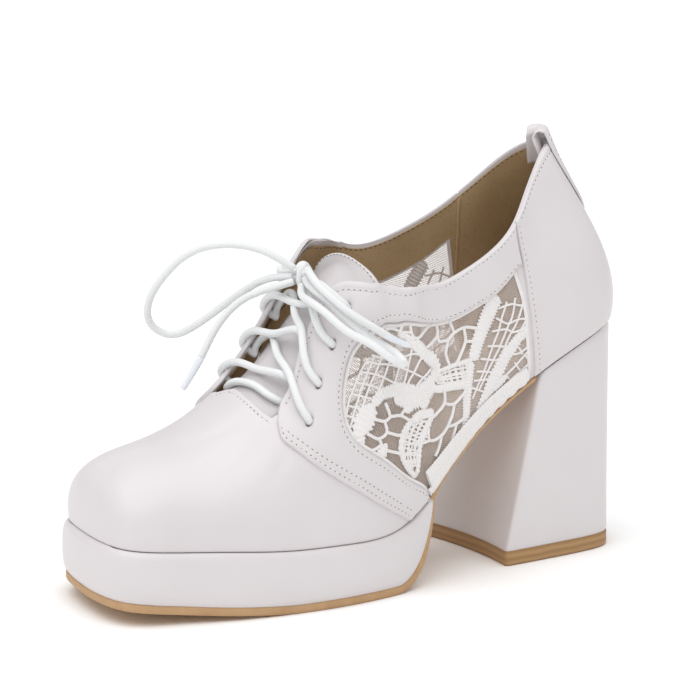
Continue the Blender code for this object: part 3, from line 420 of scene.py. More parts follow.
def spline(t, values, at):
    """Natural cubic spline through a few values or points."""
    t, at, values = np.asarray(t, float), np.asarray(at, float), np.asarray(values, float)
    flat = values.reshape(len(t), -1)
    n, h = len(t), np.diff(t)
    matrix, right = np.eye(n), np.zeros_like(flat)
    for i in range(1, n - 1):
        matrix[i, i - 1:i + 2] = h[i - 1], 2 * (h[i - 1] + h[i]), h[i]
        right[i] = 6 * ((flat[i + 1] - flat[i]) / h[i] - (flat[i] - flat[i - 1]) / h[i - 1])
    bend = np.linalg.solve(matrix, right)
    k = np.clip(np.searchsorted(t, at) - 1, 0, n - 2)
    a, b, step = (x[:, None] for x in (t[k + 1] - at, at - t[k], h[k]))
    curved = (bend[k] * a**3 + bend[k + 1] * b**3) / (6 * step)
    curved += (flat[k] / step - bend[k] * step / 6) * a
    curved += (flat[k + 1] / step - bend[k + 1] * step / 6) * b
    return curved.reshape(len(at), *values.shape[1:])


def through(points):
    """Smooth curve through a route, sampled closely."""
    chord = run_along(points)
    return spline(chord, points, np.linspace(0, chord[-1], max(2, round(chord[-1] / CORD_STEP)) + 1))


def length_of(path):
    return float(np.linalg.norm(np.diff(path, axis=0), axis=1).sum())


def stacked(rings):
    """Closed solid from rings of the same count, with flat ends."""
    rings = np.array(rings)
    levels, count = rings.shape[:2]
    faces = []
    for r in range(levels - 1):
        for k in range(count):
            j = (k + 1) % count
            faces.append([r * count + k, r * count + j, (r + 1) * count + j, (r + 1) * count + k])
    faces += [list(range(count)), list(range((levels - 1) * count, levels * count))]
    return rings.reshape(-1, 3), faces


def swept(path, radius, sides=14):
    """Round tube with closed, slightly rounded ends: points, faces and UV in millimetres."""
    path = np.asarray(path, float)
    ahead = unit(np.gradient(path, axis=0))
    run = run_along(path)
    across = np.cross(ahead[0], ACROSS)
    turns = np.arange(sides + 1) * 2 * math.pi / sides
    rings = []
    for k, (centre, way) in enumerate(zip(path, ahead)):
        across = across - way * (across @ way)
        across /= np.linalg.norm(across)
        up = np.cross(way, across)
        width = np.broadcast_to(radius, len(path))[k] * (ROUNDED if k in (0, len(path) - 1) else 1)
        rings.append([centre + width * (math.cos(t) * across + math.sin(t) * up) for t in turns[:-1]])
    round_it = turns * CORD / 2
    face_uv = [[(a, low), (a, high), (b, high), (b, low)] for a, b in zip(run, run[1:])
               for low, high in zip(round_it, round_it[1:])]
    return *stacked(rings), face_uv + [[(0, 0)] * sides] * 2


def joined(parts):
    """Several (points, faces, ...) as one."""
    points, faces, rest = [], [], []
    start = 0
    for part in parts:
        points.append(part[0])
        faces += [[i + start for i in face] for face in part[1]]
        rest += part[2] if len(part) > 2 else []
        start += len(part[0])
    return np.concatenate(points), faces, rest


def add_piece(name, shape, finishes, nodes=(), which=None, crease=50):
    """Mesh piece from points in millimetres: outward faces, smooth shading, finishes, the root body; its CAD
    nodes hidden.
    """
    points, faces = shape[:2]
    mesh = bpy.data.meshes.new(name)
    mesh.from_pydata(placed(points).tolist(), [], faces)
    if len(shape) > 2 and shape[2]:
        layer = mesh.uv_layers.new(name="along")
        layer.data.foreach_set("uv", np.array([uv for face in shape[2] for uv in face]).ravel() * MM)
    for finish in finishes:
        mesh.materials.append(finish)
    if which is not None:
        mesh.polygons.foreach_set("material_index", np.asarray(which, int))
    bm = bmesh.new()
    bm.from_mesh(mesh)
    bmesh.ops.recalc_face_normals(bm, faces=bm.faces)
    bm.to_mesh(mesh)
    bm.free()
    mesh.shade_smooth()
    mesh.set_sharp_from_angle(angle=math.radians(crease))
    made = bpy.data.objects.new(name, mesh)
    bpy.context.collection.objects.link(made)
    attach(made, "root")
    if nodes:
        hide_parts(*nodes)
    return made


print("cord:", CORD, "mm")

# %% Braided cord and clear tip
# Waxed cotton braid: white, nearly matt, with a fine diamond of yarns that shows as a soft texture
BRAID = 1.5                # length of a yarn's float along the cord
cord_white, tree, shader, spot = start_material("waxed cotton braid", Roughness=.62, Sheen_Weight=.15)
along = node(tree, "ShaderNodeUVMap", uv_map="along").outputs["UV"]
parts = node(tree, "ShaderNodeSeparateXYZ", {"Vector": along})
waves = []
for way in (1, -1):
    slant = node(tree, "ShaderNodeMath", {0: parts.outputs["Y"], 1: way, 2: parts.outputs["X"]},
                 operation="MULTIPLY_ADD")
    turn = node(tree, "ShaderNodeMath", {0: slant.outputs[0], 1: 2 * math.pi * per_metre(BRAID)},
                operation="MULTIPLY")
    waves.append(node(tree, "ShaderNodeMath", {0: turn.outputs[0]}, operation="SINE").outputs[0])
yarn = node(tree, "ShaderNodeMath", {0: waves[0], 1: waves[1]}, operation="MULTIPLY").outputs[0]
bump = node(tree, "ShaderNodeBump", {"Height": yarn, "Strength": .35, "Distance": .12 * MM})
tone = node(tree, "ShaderNodeMapRange", {"Value": yarn, "From Min": -1.0, "From Max": 1.0})
shade = node(tree, "ShaderNodeMix", {"Factor": tone.outputs[0], "A": linear("#DFE1E2"),
                                     "B": linear("#F1F2F2")}, data_type="RGBA")
tree.links.new(bump.outputs[0], shader.inputs["Normal"])
tree.links.new(shade.outputs["Result"], shader.inputs["Base Color"])
# Shrunk clear film over the cord's end: smooth, glossy and a little bluish
tip_film, tree, shader, spot = start_material("shrunk plastic film", Roughness=.22, Coat_Weight=.4)
cloud = node(tree, "ShaderNodeTexNoise", {"Vector": spot, "Scale": per_metre(4)})
shade = node(tree, "ShaderNodeMix", {"Factor": cloud.outputs[0], "A": linear("#E3E8F0"),
                                     "B": linear("#EEF1F6")}, data_type="RGBA")
tree.links.new(shade.outputs["Result"], shader.inputs["Base Color"])
print("materials:", cord_white.name, "and", tip_film.name)

# %% Strands through the eyelets
Crossing = namedtuple("Crossing", "node outer_rim outer_under inner_rim inner_under meet lift")
CROSSINGS = [Crossing("lace_cross_low", 7.505, 7.26, 7.75, 7.485, .08, 2.0),
             Crossing("lace_cross_middle", 7.125, 6.84, 7.325, 7.165, .06, .3),
             Crossing("lace_cross_high", 6.905, 6.66, 6.95, 6.815, .26, .3)]
BELOW = -(WALL + CORD / 2 + .5)    # a strand's middle under the lining
TOUCH = .95                # distance of two crossing strands' middles, as a share of the cord's thickness
START = (BELOW - 1.5, -.8)         # heights where a strand starts under an eyelet and passes through it
LEAN = {1: (.05, .035), -1: (0, .024)}     # u and v by which it then leans towards the throat
RISE = {1: ((.25, OVERLAY + .5), (.9, LIE)), -1: ((.25, OVERLAY + .1), (.9, LIE - .4))}    # shares, heights
OVER_OUTER, OVER_INNER = LIE + .2, LIE - .3        # heights over the edges of the two facings
UNDER_INNER, UNDER_OUTER = BELOW + .2, BELOW + .1  # heights where a strand dives under the facing across
PAST_RIM, PAST_EDGE = .005, .01    # v past the outer facing's edge, and past the edge across
HUMP = .45                 # place of an outer strand's highest point, as a share of its way over the throat
ENDS = {  # a strand's last two places under the next eyelet: u and v from it, and height
    1: ((.08, .03, BELOW), (0, 0, BELOW - 1.2)), -1: ((-.02, .01, BELOW + .45), (0, 0, BELOW - .4))}
BAR = [  # u, v and height of places along the lowest bar
    (7.45, .56, BELOW - 1.0), (7.68, .66, BELOW - .6), (7.90, .78, -1.9), (7.97, .88, -1.9),
    (8.02, 1.0, -1.9), (-8.03, .90, -1.9), (-7.95, .76, BELOW), (-7.80, .69, BELOW - 1.0)]


def up_through(side, eyelet):
    """Start of a strand: from under the lining up through an eyelet and on to the facing."""
    u, v = eyelet
    lean_u, lean_v = LEAN[side]
    return [offset(side * u, v, height) for height in START] + [
        offset(side * (u + share * lean_u), v + share * lean_v, height) for share, height in RISE[side]]


def down_under(side, eyelet):
    """End of a strand, under an eyelet."""
    u, v = eyelet
    return [offset(side * (u + du), v + dv, height) for du, dv, height in ENDS[side]]


def crossing_routes(row, low):
    """Outer and inner strand of a crossing: straight over the throat, then down under the next eyelet."""
    start = offset(row.outer_rim, facing_v(1, row.outer_rim) + PAST_RIM, OVER_OUTER)
    way = offset(-row.outer_under, facing_v(-1, row.outer_under) - PAST_EDGE, UNDER_INNER) - start
    rim = offset(-row.inner_rim, facing_v(-1, row.inner_rim), OVER_INNER)
    under = offset(row.inner_under, facing_v(1, row.inner_under) - PAST_EDGE, UNDER_OUTER)
    down = np.cross(way, under - rim)
    down *= -np.sign(down[2]) / np.linalg.norm(down)
    touch = start + row.meet * way + down * TOUCH * CORD
    outer = [start, start + HUMP * way - down * row.lift, start + way]
    inner = [rim, (rim + touch) / 2 - down * row.lift / 2, touch, under]
    return (up_through(1, EYELETS[low]) + outer + down_under(-1, EYELETS_MEDIAL[low + 1]),
            up_through(-1, EYELETS_MEDIAL[low]) + inner + down_under(1, EYELETS[low + 1]))


for low, row in enumerate(CROSSINGS):
    shape = joined([swept(through(route), CORD / 2) for route in crossing_routes(row, low)])
    add_piece("strands_" + row.node[5:], shape, [cord_white], [row.node])
bar = through([offset(u, v, height) for u, v, height in BAR])
add_piece("strand_bar", swept(bar, CORD / 2), [cord_white], ["lace_bar"])
print("crossings:", len(CROSSINGS), "and one bar")

# %% Knot
KNOT = np.array([1.0, 136.0, 119.0])
KNOT_HALF = np.array([4.5, 3.75, 5.75])
TOP_ENDS = {1: (6.2, 134.5, 117.1), -1: (-4.2, 134.5, 119.5)}
TOP_STEPS = {1: .15, -1: .10}      # how far in u the top strands slant before the facing's edge
IN_KNOT = .6               # distance from the knot's middle to the top strands' ends
WRAP = np.linspace(0, 2.3 * math.pi, 60)   # angles of the cord that goes round the knot
WRAP_START, WRAP_WIDTH, WRAP_FORE = .6, 2.4, .3    # its first angle, its slant along x and its shift in s
PASS = np.linspace(-1, 1, 12)      # places along the two short cords in the knot, its core and its tuck
CORE_AT, CORE_HALF, CORE_BEND = (0, .9, 0), (3.6, .3, 1.6), 1.6    # middle, half extents and bend in radians
TUCK_AT, TUCK_HALF = (0, .4, -.4), (2.8, 0, 2.2)
for side, name in SIDES:
    eyelet = side_lines(side)[4][3]
    edge = eyelet[0] + TOP_STEPS[side]
    route = up_through(side, eyelet) + [
        offset(side * edge, facing_v(side, edge) + PAST_EDGE, OVER_OUTER), np.array(TOP_ENDS[side]),
        KNOT + [side * IN_KNOT, 0, 0]]
    add_piece("strand_top_" + name, swept(through(route), CORD / 2), [cord_white],
              ["lace_top_" + name])
reach = KNOT_HALF - CORD / 2
turns = KNOT + np.stack([WRAP_WIDTH * (WRAP / WRAP[-1] - .5),
                         reach[1] * np.cos(WRAP + WRAP_START) + WRAP_FORE,
                         reach[2] * np.sin(WRAP + WRAP_START)], 1)
core = KNOT + CORE_AT + CORE_HALF * np.stack([PASS, PASS, np.sin(CORE_BEND * PASS)], 1)
tuck = KNOT + TUCK_AT + TUCK_HALF * np.stack([PASS] * 3, 1)
knot = add_piece("bow_knot", joined([swept(p, CORD / 2) for p in (turns, core, tuck)]), [cord_white],
                 ["lace_knot"])
print("knot:", np.round(KNOT_HALF * 2, 1), "mm")

# %% Loops and ends of the bow
LOOP_LEFT = [(-3.5, 137.9, 121.4), (-11, 147.5, 128), (-20, 157, 130), (-30, 168, 126.5), (-38, 176, 116.5),
             (-43, 180, 105.5), (-45, 177.5, 96.5), (-42, 171, 92.5), (-36, 165, 95.5), (-27, 156.5, 104.5),
             (-18, 149, 113), (-11, 144.5, 117), (-4.0, 138.5, 118.3)]
END_LEFT = [(-1.4, 139.5, 116.8), (-8, 147.5, 113.5), (-13, 154, 110), (-17, 160.5, 103.5), (-19, 166, 95),
            (-20, 170, 87), (-22, 177, 75)]
LOOP_RIGHT = [(5.3, 138.2, 118.8), (14, 142, 118), (23.5, 142.3, 115.3), (29.2, 138.8, 110.6),
              (32.5, 135.4, 106.6), (35.3, 132, 102.8), (39.5, 123, 96.2), (42, 120.6, 93.9),
              (45.9, 120.4, 92.2), (49.6, 122.3, 91.8), (51.7, 125.8, 92.9), (51.4, 129.5, 95),
              (47.7, 133.9, 99.1), (38.8, 140.9, 104.4), (29.8, 144.6, 110.2), (22.2, 145.9, 113),
              (13.2, 144.6, 114.1), (4.1, 139.1, 116.1)]
END_RIGHT = [(5.3, 137.1, 122.2), (14, 142, 123), (24.5, 143.5, 119), (28.8, 141.8, 116),
             (32.8, 138.9, 112.2), (36, 135, 108.7), (39.7, 126.8, 103), (39.4, 119.8, 98.8),
             (37.4, 112, 95.5)]
TIP = 15.0                 # length of a plastic tip
TIP_PLACES, TIP_WIDTHS = [0, 1.5, TIP - 2, TIP], [.72, .80, .98, 1.06]     # from its end; shares of the cord
IN_TIP = .66               # share of the cord's width that is left inside a tip
for name, route, far_end in (("loop_left", LOOP_LEFT, "object"), ("end_left", END_LEFT, "fitting"),
                             ("loop_right", LOOP_RIGHT, "object"), ("end_right", END_RIGHT, "fitting")):
    path = through(route)
    extra = []
    if far_end == "fitting":
        left = length_of(path) - run_along(path)
        waist = np.interp(left[left < TIP], TIP_PLACES, TIP_WIDTHS) * CORD / 2
        extra = [add_piece("tip_" + name[4:], swept(path[left < TIP], waist), [tip_film])]
    in_tip = np.arange(len(path)) > len(path) - TIP / CORD_STEP
    width = np.where(in_tip, IN_TIP if extra else 1, 1) * CORD / 2
    piece = add_piece("bow_" + name, swept(path, width), [cord_white], ["lace_" + name])
    print(name, round(length_of(path)), "mm")

# %% [markdown]
# ## White leather
# Smooth white coated calf: a faint pebble from the finish, a satin gloss, and hardly any colour. The grain is
# a Voronoi cell pattern under fine noise, on Object coordinates in real millimetres. The cells are drawn at
# about twice their true size so that they still show as a texture in a picture of this scale.

# %% Leather material
GRAIN = 1.1
leather, tree, shader, spot = start_material("coated white calf", Coat_Weight=.12, Coat_Roughness=.28,
                                             Specular_IOR_Level=.45)
cells = node(tree, "ShaderNodeTexVoronoi", {"Vector": spot, "Scale": per_metre(GRAIN)}, feature="SMOOTH_F1")
fine = node(tree, "ShaderNodeTexNoise", {"Vector": spot, "Scale": per_metre(.5), "Detail": 3.0})
wide = node(tree, "ShaderNodeTexNoise", {"Vector": spot, "Scale": per_metre(30), "Detail": 2.0})
height = node(tree, "ShaderNodeMath", {0: fine.outputs[0], 1: .4, 2: cells.outputs["Distance"]},
              operation="MULTIPLY_ADD")
bump = node(tree, "ShaderNodeBump", {"Height": height.outputs[0], "Strength": .10, "Distance": .15 * MM})
gloss = node(tree, "ShaderNodeMapRange", {"Value": wide.outputs[0], "From Min": .3, "From Max": .7,
                                          "To Min": .36, "To Max": .46})
shade = node(tree, "ShaderNodeMix", {"Factor": wide.outputs[0], "A": linear("#D4CFD0"),
                                     "B": linear("#DDD8D9")}, data_type="RGBA")
tree.links.new(bump.outputs[0], shader.inputs["Normal"])
tree.links.new(gloss.outputs[0], shader.inputs["Roughness"])
tree.links.new(shade.outputs["Result"], shader.inputs["Base Color"])
print("grain:", GRAIN, "mm")

# %% [markdown]
# ## Stitch rows and leather panels
# Each panel is cut on the flat drawing sheet and laid on the surface. Its edge is rolled: the leather is
# skived thin and turned in, so its height falls in a quarter round over the last millimetre. Along a row of
# stitches the thread pulls the leather down into a shallow channel. Rows are lines moved in from the edges.

# %% Rows of stitches on the sheet
COLLAR_ROW = 2.0           # millimetres from an edge to its row of stitches
FACING_ROW = 2.5
SEAM_ROWS = (1.3, 2.9)
GATE_ROW = 1.3
GATE_END = (2.86, .752)    # where the window's row ends at the counter
COUNTER_ROW = 1.9
THROAT_ROW = 1.7
HEEL_ROW = (2.6, .965)     # reach in u of the row across the counter's top, and its v
COLLAR_TURN = .08          # u before the collar's corner where the level part of its row ends
ROW_START = .1             # u from the counter's seam to the start of the collar's row


def trim(line, start, end):
    """Leave out millimetres at a line's start and end."""
    run = run_along(line * SHEET)
    return line[(run >= start) & (run <= run[-1] - end)]


def along_collar(collar, inset, start):
    """Row under the collar's edge, from a place at the back to the facing."""
    level = 1 - inset / SHEET[1]
    return np.vstack([straight((start, level), (collar[0][0] - COLLAR_TURN, level), 1),
                      trim(shift(smooth_line(collar, 1), inset), 1, 2)])


def quarter_rows(side):
    """Stitch rows of one quarter, on the positive half of the sheet."""
    collar, facing, seam, _, _ = side_lines(side)
    gate = smooth_line([GATE_FOOT] + WINDOW_SIDE[1:] + WINDOW_TOP[1:-1] + [GATE_END], 1)
    return [along_collar(collar, COLLAR_ROW, COUNTER_SEAM[0][0] + ROW_START),
            trim(shift(smooth_line(facing, 1), FACING_ROW), 1, 4),
            trim(shift(smooth_line(seam, 1), SEAM_ROWS[0]), 2, 1),
            trim(shift(smooth_line(seam, 1), SEAM_ROWS[1]), 4, 1),
            trim(shift(gate, GATE_ROW), 1, 1)]


QUARTER_ROWS = {side: [line * [side, 1] for line in quarter_rows(side)] for side in (1, -1)}
back_edge = trim(shift(smooth_line(COUNTER_SEAM, 1), COUNTER_ROW), 2, 1)
top_edge = straight(HEEL_ROW, (-HEEL_ROW[0], HEEL_ROW[1]), 1)
COUNTER_ROWS = [back_edge, mirrored(back_edge), top_edge]
throat = smooth_line(TONGUE_SEAM[::-1], 1)
throat_medial = mirrored(smooth_line(TONGUE_SEAM_MEDIAL, 1))
VAMP_ROWS = [shift(throat, THROAT_ROW), shift(throat_medial, THROAT_ROW)]
print("rows:", sum(len(rows) for rows in (*QUARTER_ROWS.values(), COUNTER_ROWS, VAMP_ROWS)))

# %% Cut a panel
ROLL_IN = 1.2              # width of the rolled edge
EDGE_LEFT = .3             # share of the thickness left at the very edge
EDGE_RINGS = (.15, .4, .8, 1.3, 2.0)       # millimetres from the edge to extra rings of points
HOLE_RINGS = (1.2, 1.6, 2.2)       # extra rings round a hole, as shares of its size
ROW_SIDES = (-.6, .6)      # extra lines of points beside a row of stitches
CLEAR = .6                 # share of a panel's spacing that its grid keeps from those points
EDGE_CLEAR = .1            # millimetres that all points keep from the edge
CHANNEL = (.22, .5)        # depth and half width of the channel under a row of stitches


def distances(points, lines):
    """Distance on the sheet from points to the nearest of some densely sampled lines."""
    spots = np.concatenate([np.asarray(line, float) for line in lines]) * SHEET
    tree = KDTree(len(spots))
    for k, (x, y) in enumerate(spots):
        tree.insert((x, y, 0), k)
    tree.balance()
    return np.array([tree.find((x, y, 0))[2] for x, y in np.asarray(points) * SHEET])


def dense(loop, step=.15):
    """Closed outline with many points."""
    return np.concatenate([straight(a, b, step)[:-1] for a, b in zip(loop, np.roll(loop, -1, axis=0))])


def same_place(point):
    """Name of a sheet point, equal for the two sides of the toe's middle and of the instep ridge."""
    u, v = point
    if abs(u) > TOE - 1e-6 or (v > 1 - 1e-6 and abs(u) >= RIDGE):
        u = abs(u)
    return round(u, 5), round(v, 5)


def round_hole(centre, diameter, sides=20):
    """Small round hole drawn on the sheet, true to size on the surface."""
    u, v = centre
    along = np.linalg.norm(surface(u + .02, v) - surface(u - .02, v)) / .04
    up = np.linalg.norm(surface(u, v + .01) - surface(u, v - .01)) / .02
    turns = np.arange(sides) * 2 * math.pi / sides
    return np.stack([u + diameter / 2 / along * np.cos(turns), v + diameter / 2 / up * np.sin(turns)], 1)


def real_edges(loops):
    """Outlines without the middle lines of toe and instep, where the two sides run into each other."""
    edge = np.concatenate([dense(loop) for loop in loops])
    middle = (np.abs(edge[:, 0]) > TOE - .01) | ((edge[:, 1] > .999) & (np.abs(edge[:, 0]) > RIDGE))
    return edge[~middle]


def panel(loop, holes, low, high, step, rows=(), relief=None):
    """Leather cut to an outline with holes: a closed solid between two distances from the surface."""
    loop = outline(loop)
    area = ((loop[:, 0] * np.roll(loop[:, 1], -1)) - (np.roll(loop[:, 0], -1) * loop[:, 1])).sum()
    loops = [loop] + [np.asarray(hole) for hole in holes]
    ring_points = [shift(loop, -math.copysign(d, area), True) for d in EDGE_RINGS]
    for hole in loops[1:]:
        ring_points += [hole.mean(0) + (hole - hole.mean(0)) * k for k in HOLE_RINGS]
    for row in rows:
        ring_points += [row] + [shift(row, d) for d in ROW_SIDES]
    pitch = np.array([step, step * .866]) / SHEET      # a grid of triangles with even sides
    low_corner, high_corner = loop.min(0), loop.max(0)
    counts = np.ceil((high_corner - low_corner) / pitch).astype(int) + 1
    column, line = np.meshgrid(np.arange(counts[0]), np.arange(counts[1]))
    grid = np.stack([column + .5 * (line % 2), line], -1).reshape(-1, 2) * pitch + low_corner
    edge = real_edges(loops)
    outer_edge = dense(loop)
    near = np.concatenate(ring_points)
    spread = distances(grid, [near])
    grid = grid[spread > step * CLEAR]
    free = np.concatenate([near, grid])
    keep = inside(free, loop)
    for hole in loops[1:]:
        keep &= ~inside(free, hole)
    free = free[keep]
    free = free[distances(free, [outer_edge] + loops[1:]) > EDGE_CLEAR]
    points, sides, start = np.concatenate(loops + [free]), [], 0
    for one in loops:
        sides += [(start + k, start + (k + 1) % len(one)) for k in range(len(one))]
        start += len(one)
    spots, _, triangles = delaunay_2d_cdt([Vector(p) for p in points * SHEET], sides, [], 0, 1e-5)[:3]
    spots = np.array([tuple(p) for p in spots]) / SHEET
    triangles = np.array(triangles)
    middle = spots[triangles].mean(1)
    keep = inside(middle, loop)
    for hole in loops[1:]:
        keep &= ~inside(middle, hole)
    keys, number = {}, []
    for place in spots:
        number.append(keys.setdefault(same_place(place), len(keys)))
    number = np.array(number)
    faces = number[triangles[keep]]
    faces = [list(f) for f in faces if len(set(f)) == 3]
    places = np.array(list(keys))
    u, v = places.T
    roll = np.clip(distances(places, [edge]) / ROLL_IN, 0, 1)
    top = low + (high - low) * (EDGE_LEFT + (1 - EDGE_LEFT) * np.sqrt(1 - (1 - roll)**2))
    if len(rows):
        depth, half = CHANNEL
        top = top - depth * np.exp(-(distances(places, rows) / half)**2) * (roll > .6)
    if relief is not None:
        top = top + relief(u, v)
    used = {}
    for face in faces:
        for a, b in zip(face, face[1:] + face[:1]):
            used.setdefault((min(a, b), max(a, b)), []).append((a, b))
    count = len(places)
    solid = faces + [[i + count for i in reversed(face)] for face in faces]
    for pair in used.values():
        if len(pair) == 1:
            a, b = pair[0]
            solid.append([b, a, a + count, b + count])
    return np.concatenate([offset(u, v, top), offset(u, v, np.full(count, low))]), solid


print("rolled edge:", ROLL_IN, "mm")

# %% [markdown]
# ## Upper, lining, quarters and counter
# The wall of the upper shows as the vamp in front; behind the quarters it is covered. The lining is a thin
# tan sheet inside it. The quarters carry the facings, and the counter goes round the heel. A few soft dents
# and swells are placed where the leather is pulled over the toe and flexes behind it.

# %% Outlines
EYELET = 3.4


def window(inset=0.0):
    """Outline of the lace window, on the positive half of the sheet."""
    seam = np.asarray(COUNTER_SEAM[:0:-1], float) + [SEAM_GAP + .01, 0]
    corner = (WINDOW_TOP[-1][0], WINDOW_TOP[-1][1] - .002)
    seam = [(seam[0][0], 0)] + [tuple(p) for p in seam if p[1] < .6] + [corner]
    loop = outline(smooth_line(WINDOW_SIDE), smooth_line(WINDOW_TOP[:-1] + [corner]), smooth_line(seam[::-1]),
                   straight((seam[0][0], 0), WINDOW_SIDE[0]))
    return shift(loop, -inset, True) if inset else loop


def half_upper(side, inset=0.0):
    """Outline of one side of the upper: sole edge, then collar, throat and ridge, drawn in at the opening."""
    collar, facing, _, tongue_seam, _ = side_lines(side)
    gate = window()
    rim = gate[:np.where(gate[:, 1] < 1e-6)[0][1] + 1]
    bottom = outline(straight((TOE, 0), rim[0]), rim, straight(rim[-1], (0, 0)))
    behind = np.asarray(facing[:-1], float) - [0, FACING_STEP]
    throat = outline(smooth_line(list(collar[:-1]) + [tuple(behind[0])]),
                     smooth_line(list(behind) + [tongue_seam[-1]]), smooth_line(tongue_seam[::-1]))
    ridge = (tongue_seam[0][0] + inset / SHEET[0], 1)
    if inset:
        throat = np.vstack([shift(throat, inset)[:-1], ridge])
    level = 1 - inset / SHEET[1]
    top = outline(straight((0, level), (collar[0][0] - inset / SHEET[0], level)), throat,
                  straight(ridge, (TOE, 1)), straight((TOE, 1), (TOE, 0)))
    return np.array(bottom), np.array(top)


def open_outline(inset=0.0):
    bottom, top = half_upper(1, inset)
    bottom_medial, top_medial = half_upper(-1, inset)
    return outline(bottom, mirrored(bottom_medial[::-1]), mirrored(top_medial[::-1]), top)


def quarter_outline(side):
    """Facing with its eyelets, the strip along the vamp seam and the band under the collar."""
    collar, facing, seam, _, _ = side_lines(side)
    gate = [GATE_FOOT] + WINDOW_SIDE[1:]
    end = np.array(COUNTER_SEAM[:2], float) + [SEAM_GAP, 0]
    low = (end[1][0] + .06, WINDOW_TOP[-1][1])
    return outline(smooth_line(facing), smooth_line(seam), smooth_line(gate),
                   smooth_line(WINDOW_TOP[:-1] + [low]), smooth_line([low, tuple(end[1]), tuple(end[0])]),
                   straight(end[0], collar[0]), smooth_line(collar)) * [side, 1]


def counter_outline():
    seam = smooth_line(COUNTER_SEAM)
    return outline(seam, straight(seam[-1], mirrored(seam)[-1]), mirrored(seam)[::-1],
                   straight(mirrored(seam)[0], seam[0]))


def hole_list(side, diameter):
    return [round_hole((side * u, v), diameter) for u, v in side_lines(side)[4]]


print("window:", len(window()), "points")

# %% Lining leather
# Tan pigskin-like lining: matt, warm, with small pores in groups
PORE = 1.3
lining_tan, tree, shader, spot = start_material("tan split lining", Roughness=.68, Specular_IOR_Level=.3)
pores = node(tree, "ShaderNodeTexVoronoi", {"Vector": spot, "Scale": per_metre(PORE)})
dots = node(tree, "ShaderNodeMapRange", {"Value": pores.outputs["Distance"], "From Min": .08,
                                         "From Max": .25})
cloud = node(tree, "ShaderNodeTexNoise", {"Vector": spot, "Scale": per_metre(14), "Detail": 4.0})
base = node(tree, "ShaderNodeMix", {"Factor": cloud.outputs[0], "A": linear("#A98D68"),
                                    "B": linear("#BDA27C")}, data_type="RGBA")
shade = node(tree, "ShaderNodeMix", {"Factor": dots.outputs[0], "A": linear("#937654"),
                                     "B": base.outputs["Result"]}, data_type="RGBA")
bump = node(tree, "ShaderNodeBump", {"Height": dots.outputs[0], "Strength": .3, "Distance": .08 * MM})
tree.links.new(shade.outputs["Result"], shader.inputs["Base Color"])
tree.links.new(bump.outputs[0], shader.inputs["Normal"])
# Pale sock on the insole: the same matt leather in a lighter, greyer tan
sock_pale, tree, shader, spot = start_material("pale sock leather", Roughness=.7, Specular_IOR_Level=.3)
cloud = node(tree, "ShaderNodeTexNoise", {"Vector": spot, "Scale": per_metre(9), "Detail": 4.0})
shade = node(tree, "ShaderNodeMix", {"Factor": cloud.outputs[0], "A": linear("#C2B2A0"),
                                     "B": linear("#D2C5B6")}, data_type="RGBA")
tree.links.new(shade.outputs["Result"], shader.inputs["Base Color"])
print("pores:", PORE, "mm")

# %% Make the leather pieces
LINING = .7                # thickness of the lining inside the wall
TURNED = 1.6               # width of the white leather turned in over the collar's edge
Dent = namedtuple("Dent", "u v along up turn height")
DENTS = [  # soft troughs and swells: middle, half lengths in millimetres, turn in degrees, height
    Dent(8.75, .80, 14, 3.0, 12, -.35), Dent(8.45, .55, 12, 3.5, -20, -.30),
    Dent(-8.6, .62, 14, 3.2, 15, -.35), Dent(9.35, .93, 16, 6.0, 5, .25), Dent(8.1, .42, 9, 3.0, -35, -.25),
    Dent(-9.2, .75, 18, 5.0, 20, .25), Dent(11.0, .78, 14, 5.0, 0, .20), Dent(-11.2, .70, 12, 5.0, 0, .20)]
SKIN = .02                 # clearance between two layers
VAMP_STEP, LINING_STEP, QUARTER_STEP, COUNTER_STEP = 1.7, 2.2, 1.2, 1.8    # spacing of the points in a panel


def dents(u, v):
    """Height that the soft troughs and swells add at a place."""
    height = np.zeros(len(u))
    for dent in DENTS:
        x, y = (u - dent.u) * SHEET[0], (v - dent.v) * SHEET[1]
        c, s = math.cos(math.radians(dent.turn)), math.sin(math.radians(dent.turn))
        height += dent.height * np.exp(-((c * x + s * y) / dent.along)**2 - ((c * y - s * x) / dent.up)**2)
    return height


holes = hole_list(1, EYELET) + hole_list(-1, EYELET)
shape = panel(open_outline(), holes, -WALL + LINING + SKIN, 0, VAMP_STEP, VAMP_ROWS, dents)
vamp = add_piece("upper_leather", shape, [leather], ["upper"])
shape = panel(open_outline(TURNED), holes, -WALL, -WALL + LINING, LINING_STEP)
lining = add_piece("lining", shape, [lining_tan])
# Inside, the facing's lining reaches over the far window's front corner, and a folded seam follows the
# counter on both sides
TAB = [(-5.95, .66), (-6.85, .66), (-6.85, .53), (-6.45, .50), (-5.95, .545)]
TAB_LEVELS = -WALL - .5, -WALL - .1
add_piece("lining_tab", panel(TAB, [], *TAB_LEVELS, LINING_STEP), [lining_tan])
LINING_SEAM, SEAM_SPAN = .75, (.5, .965)     # radius of the fold, sunk half way in, and where it runs in v
for side, name in SIDES:
    v = np.linspace(*SEAM_SPAN, 12)
    u = np.interp(v, *np.array(COUNTER_SEAM)[::-1].T[::-1])
    fold = swept(through(offset(side * u, v, -WALL)), LINING_SEAM)
    add_piece("lining_seam_" + name, fold, [lining_tan])
for side, name in SIDES:
    shape = panel(quarter_outline(side), hole_list(side, EYELET), SKIN, OVERLAY, QUARTER_STEP,
                  QUARTER_ROWS[side])
    add_piece("quarter_leather_" + name, shape, [leather], ["quarter_" + name])
shape = panel(counter_outline(), [], SKIN, OVERLAY, COUNTER_STEP, COUNTER_ROWS)
add_piece("counter_leather", shape, [leather], ["counter"])
print("upper:", len(vamp.data.polygons), "faces; lining:", len(lining.data.polygons))

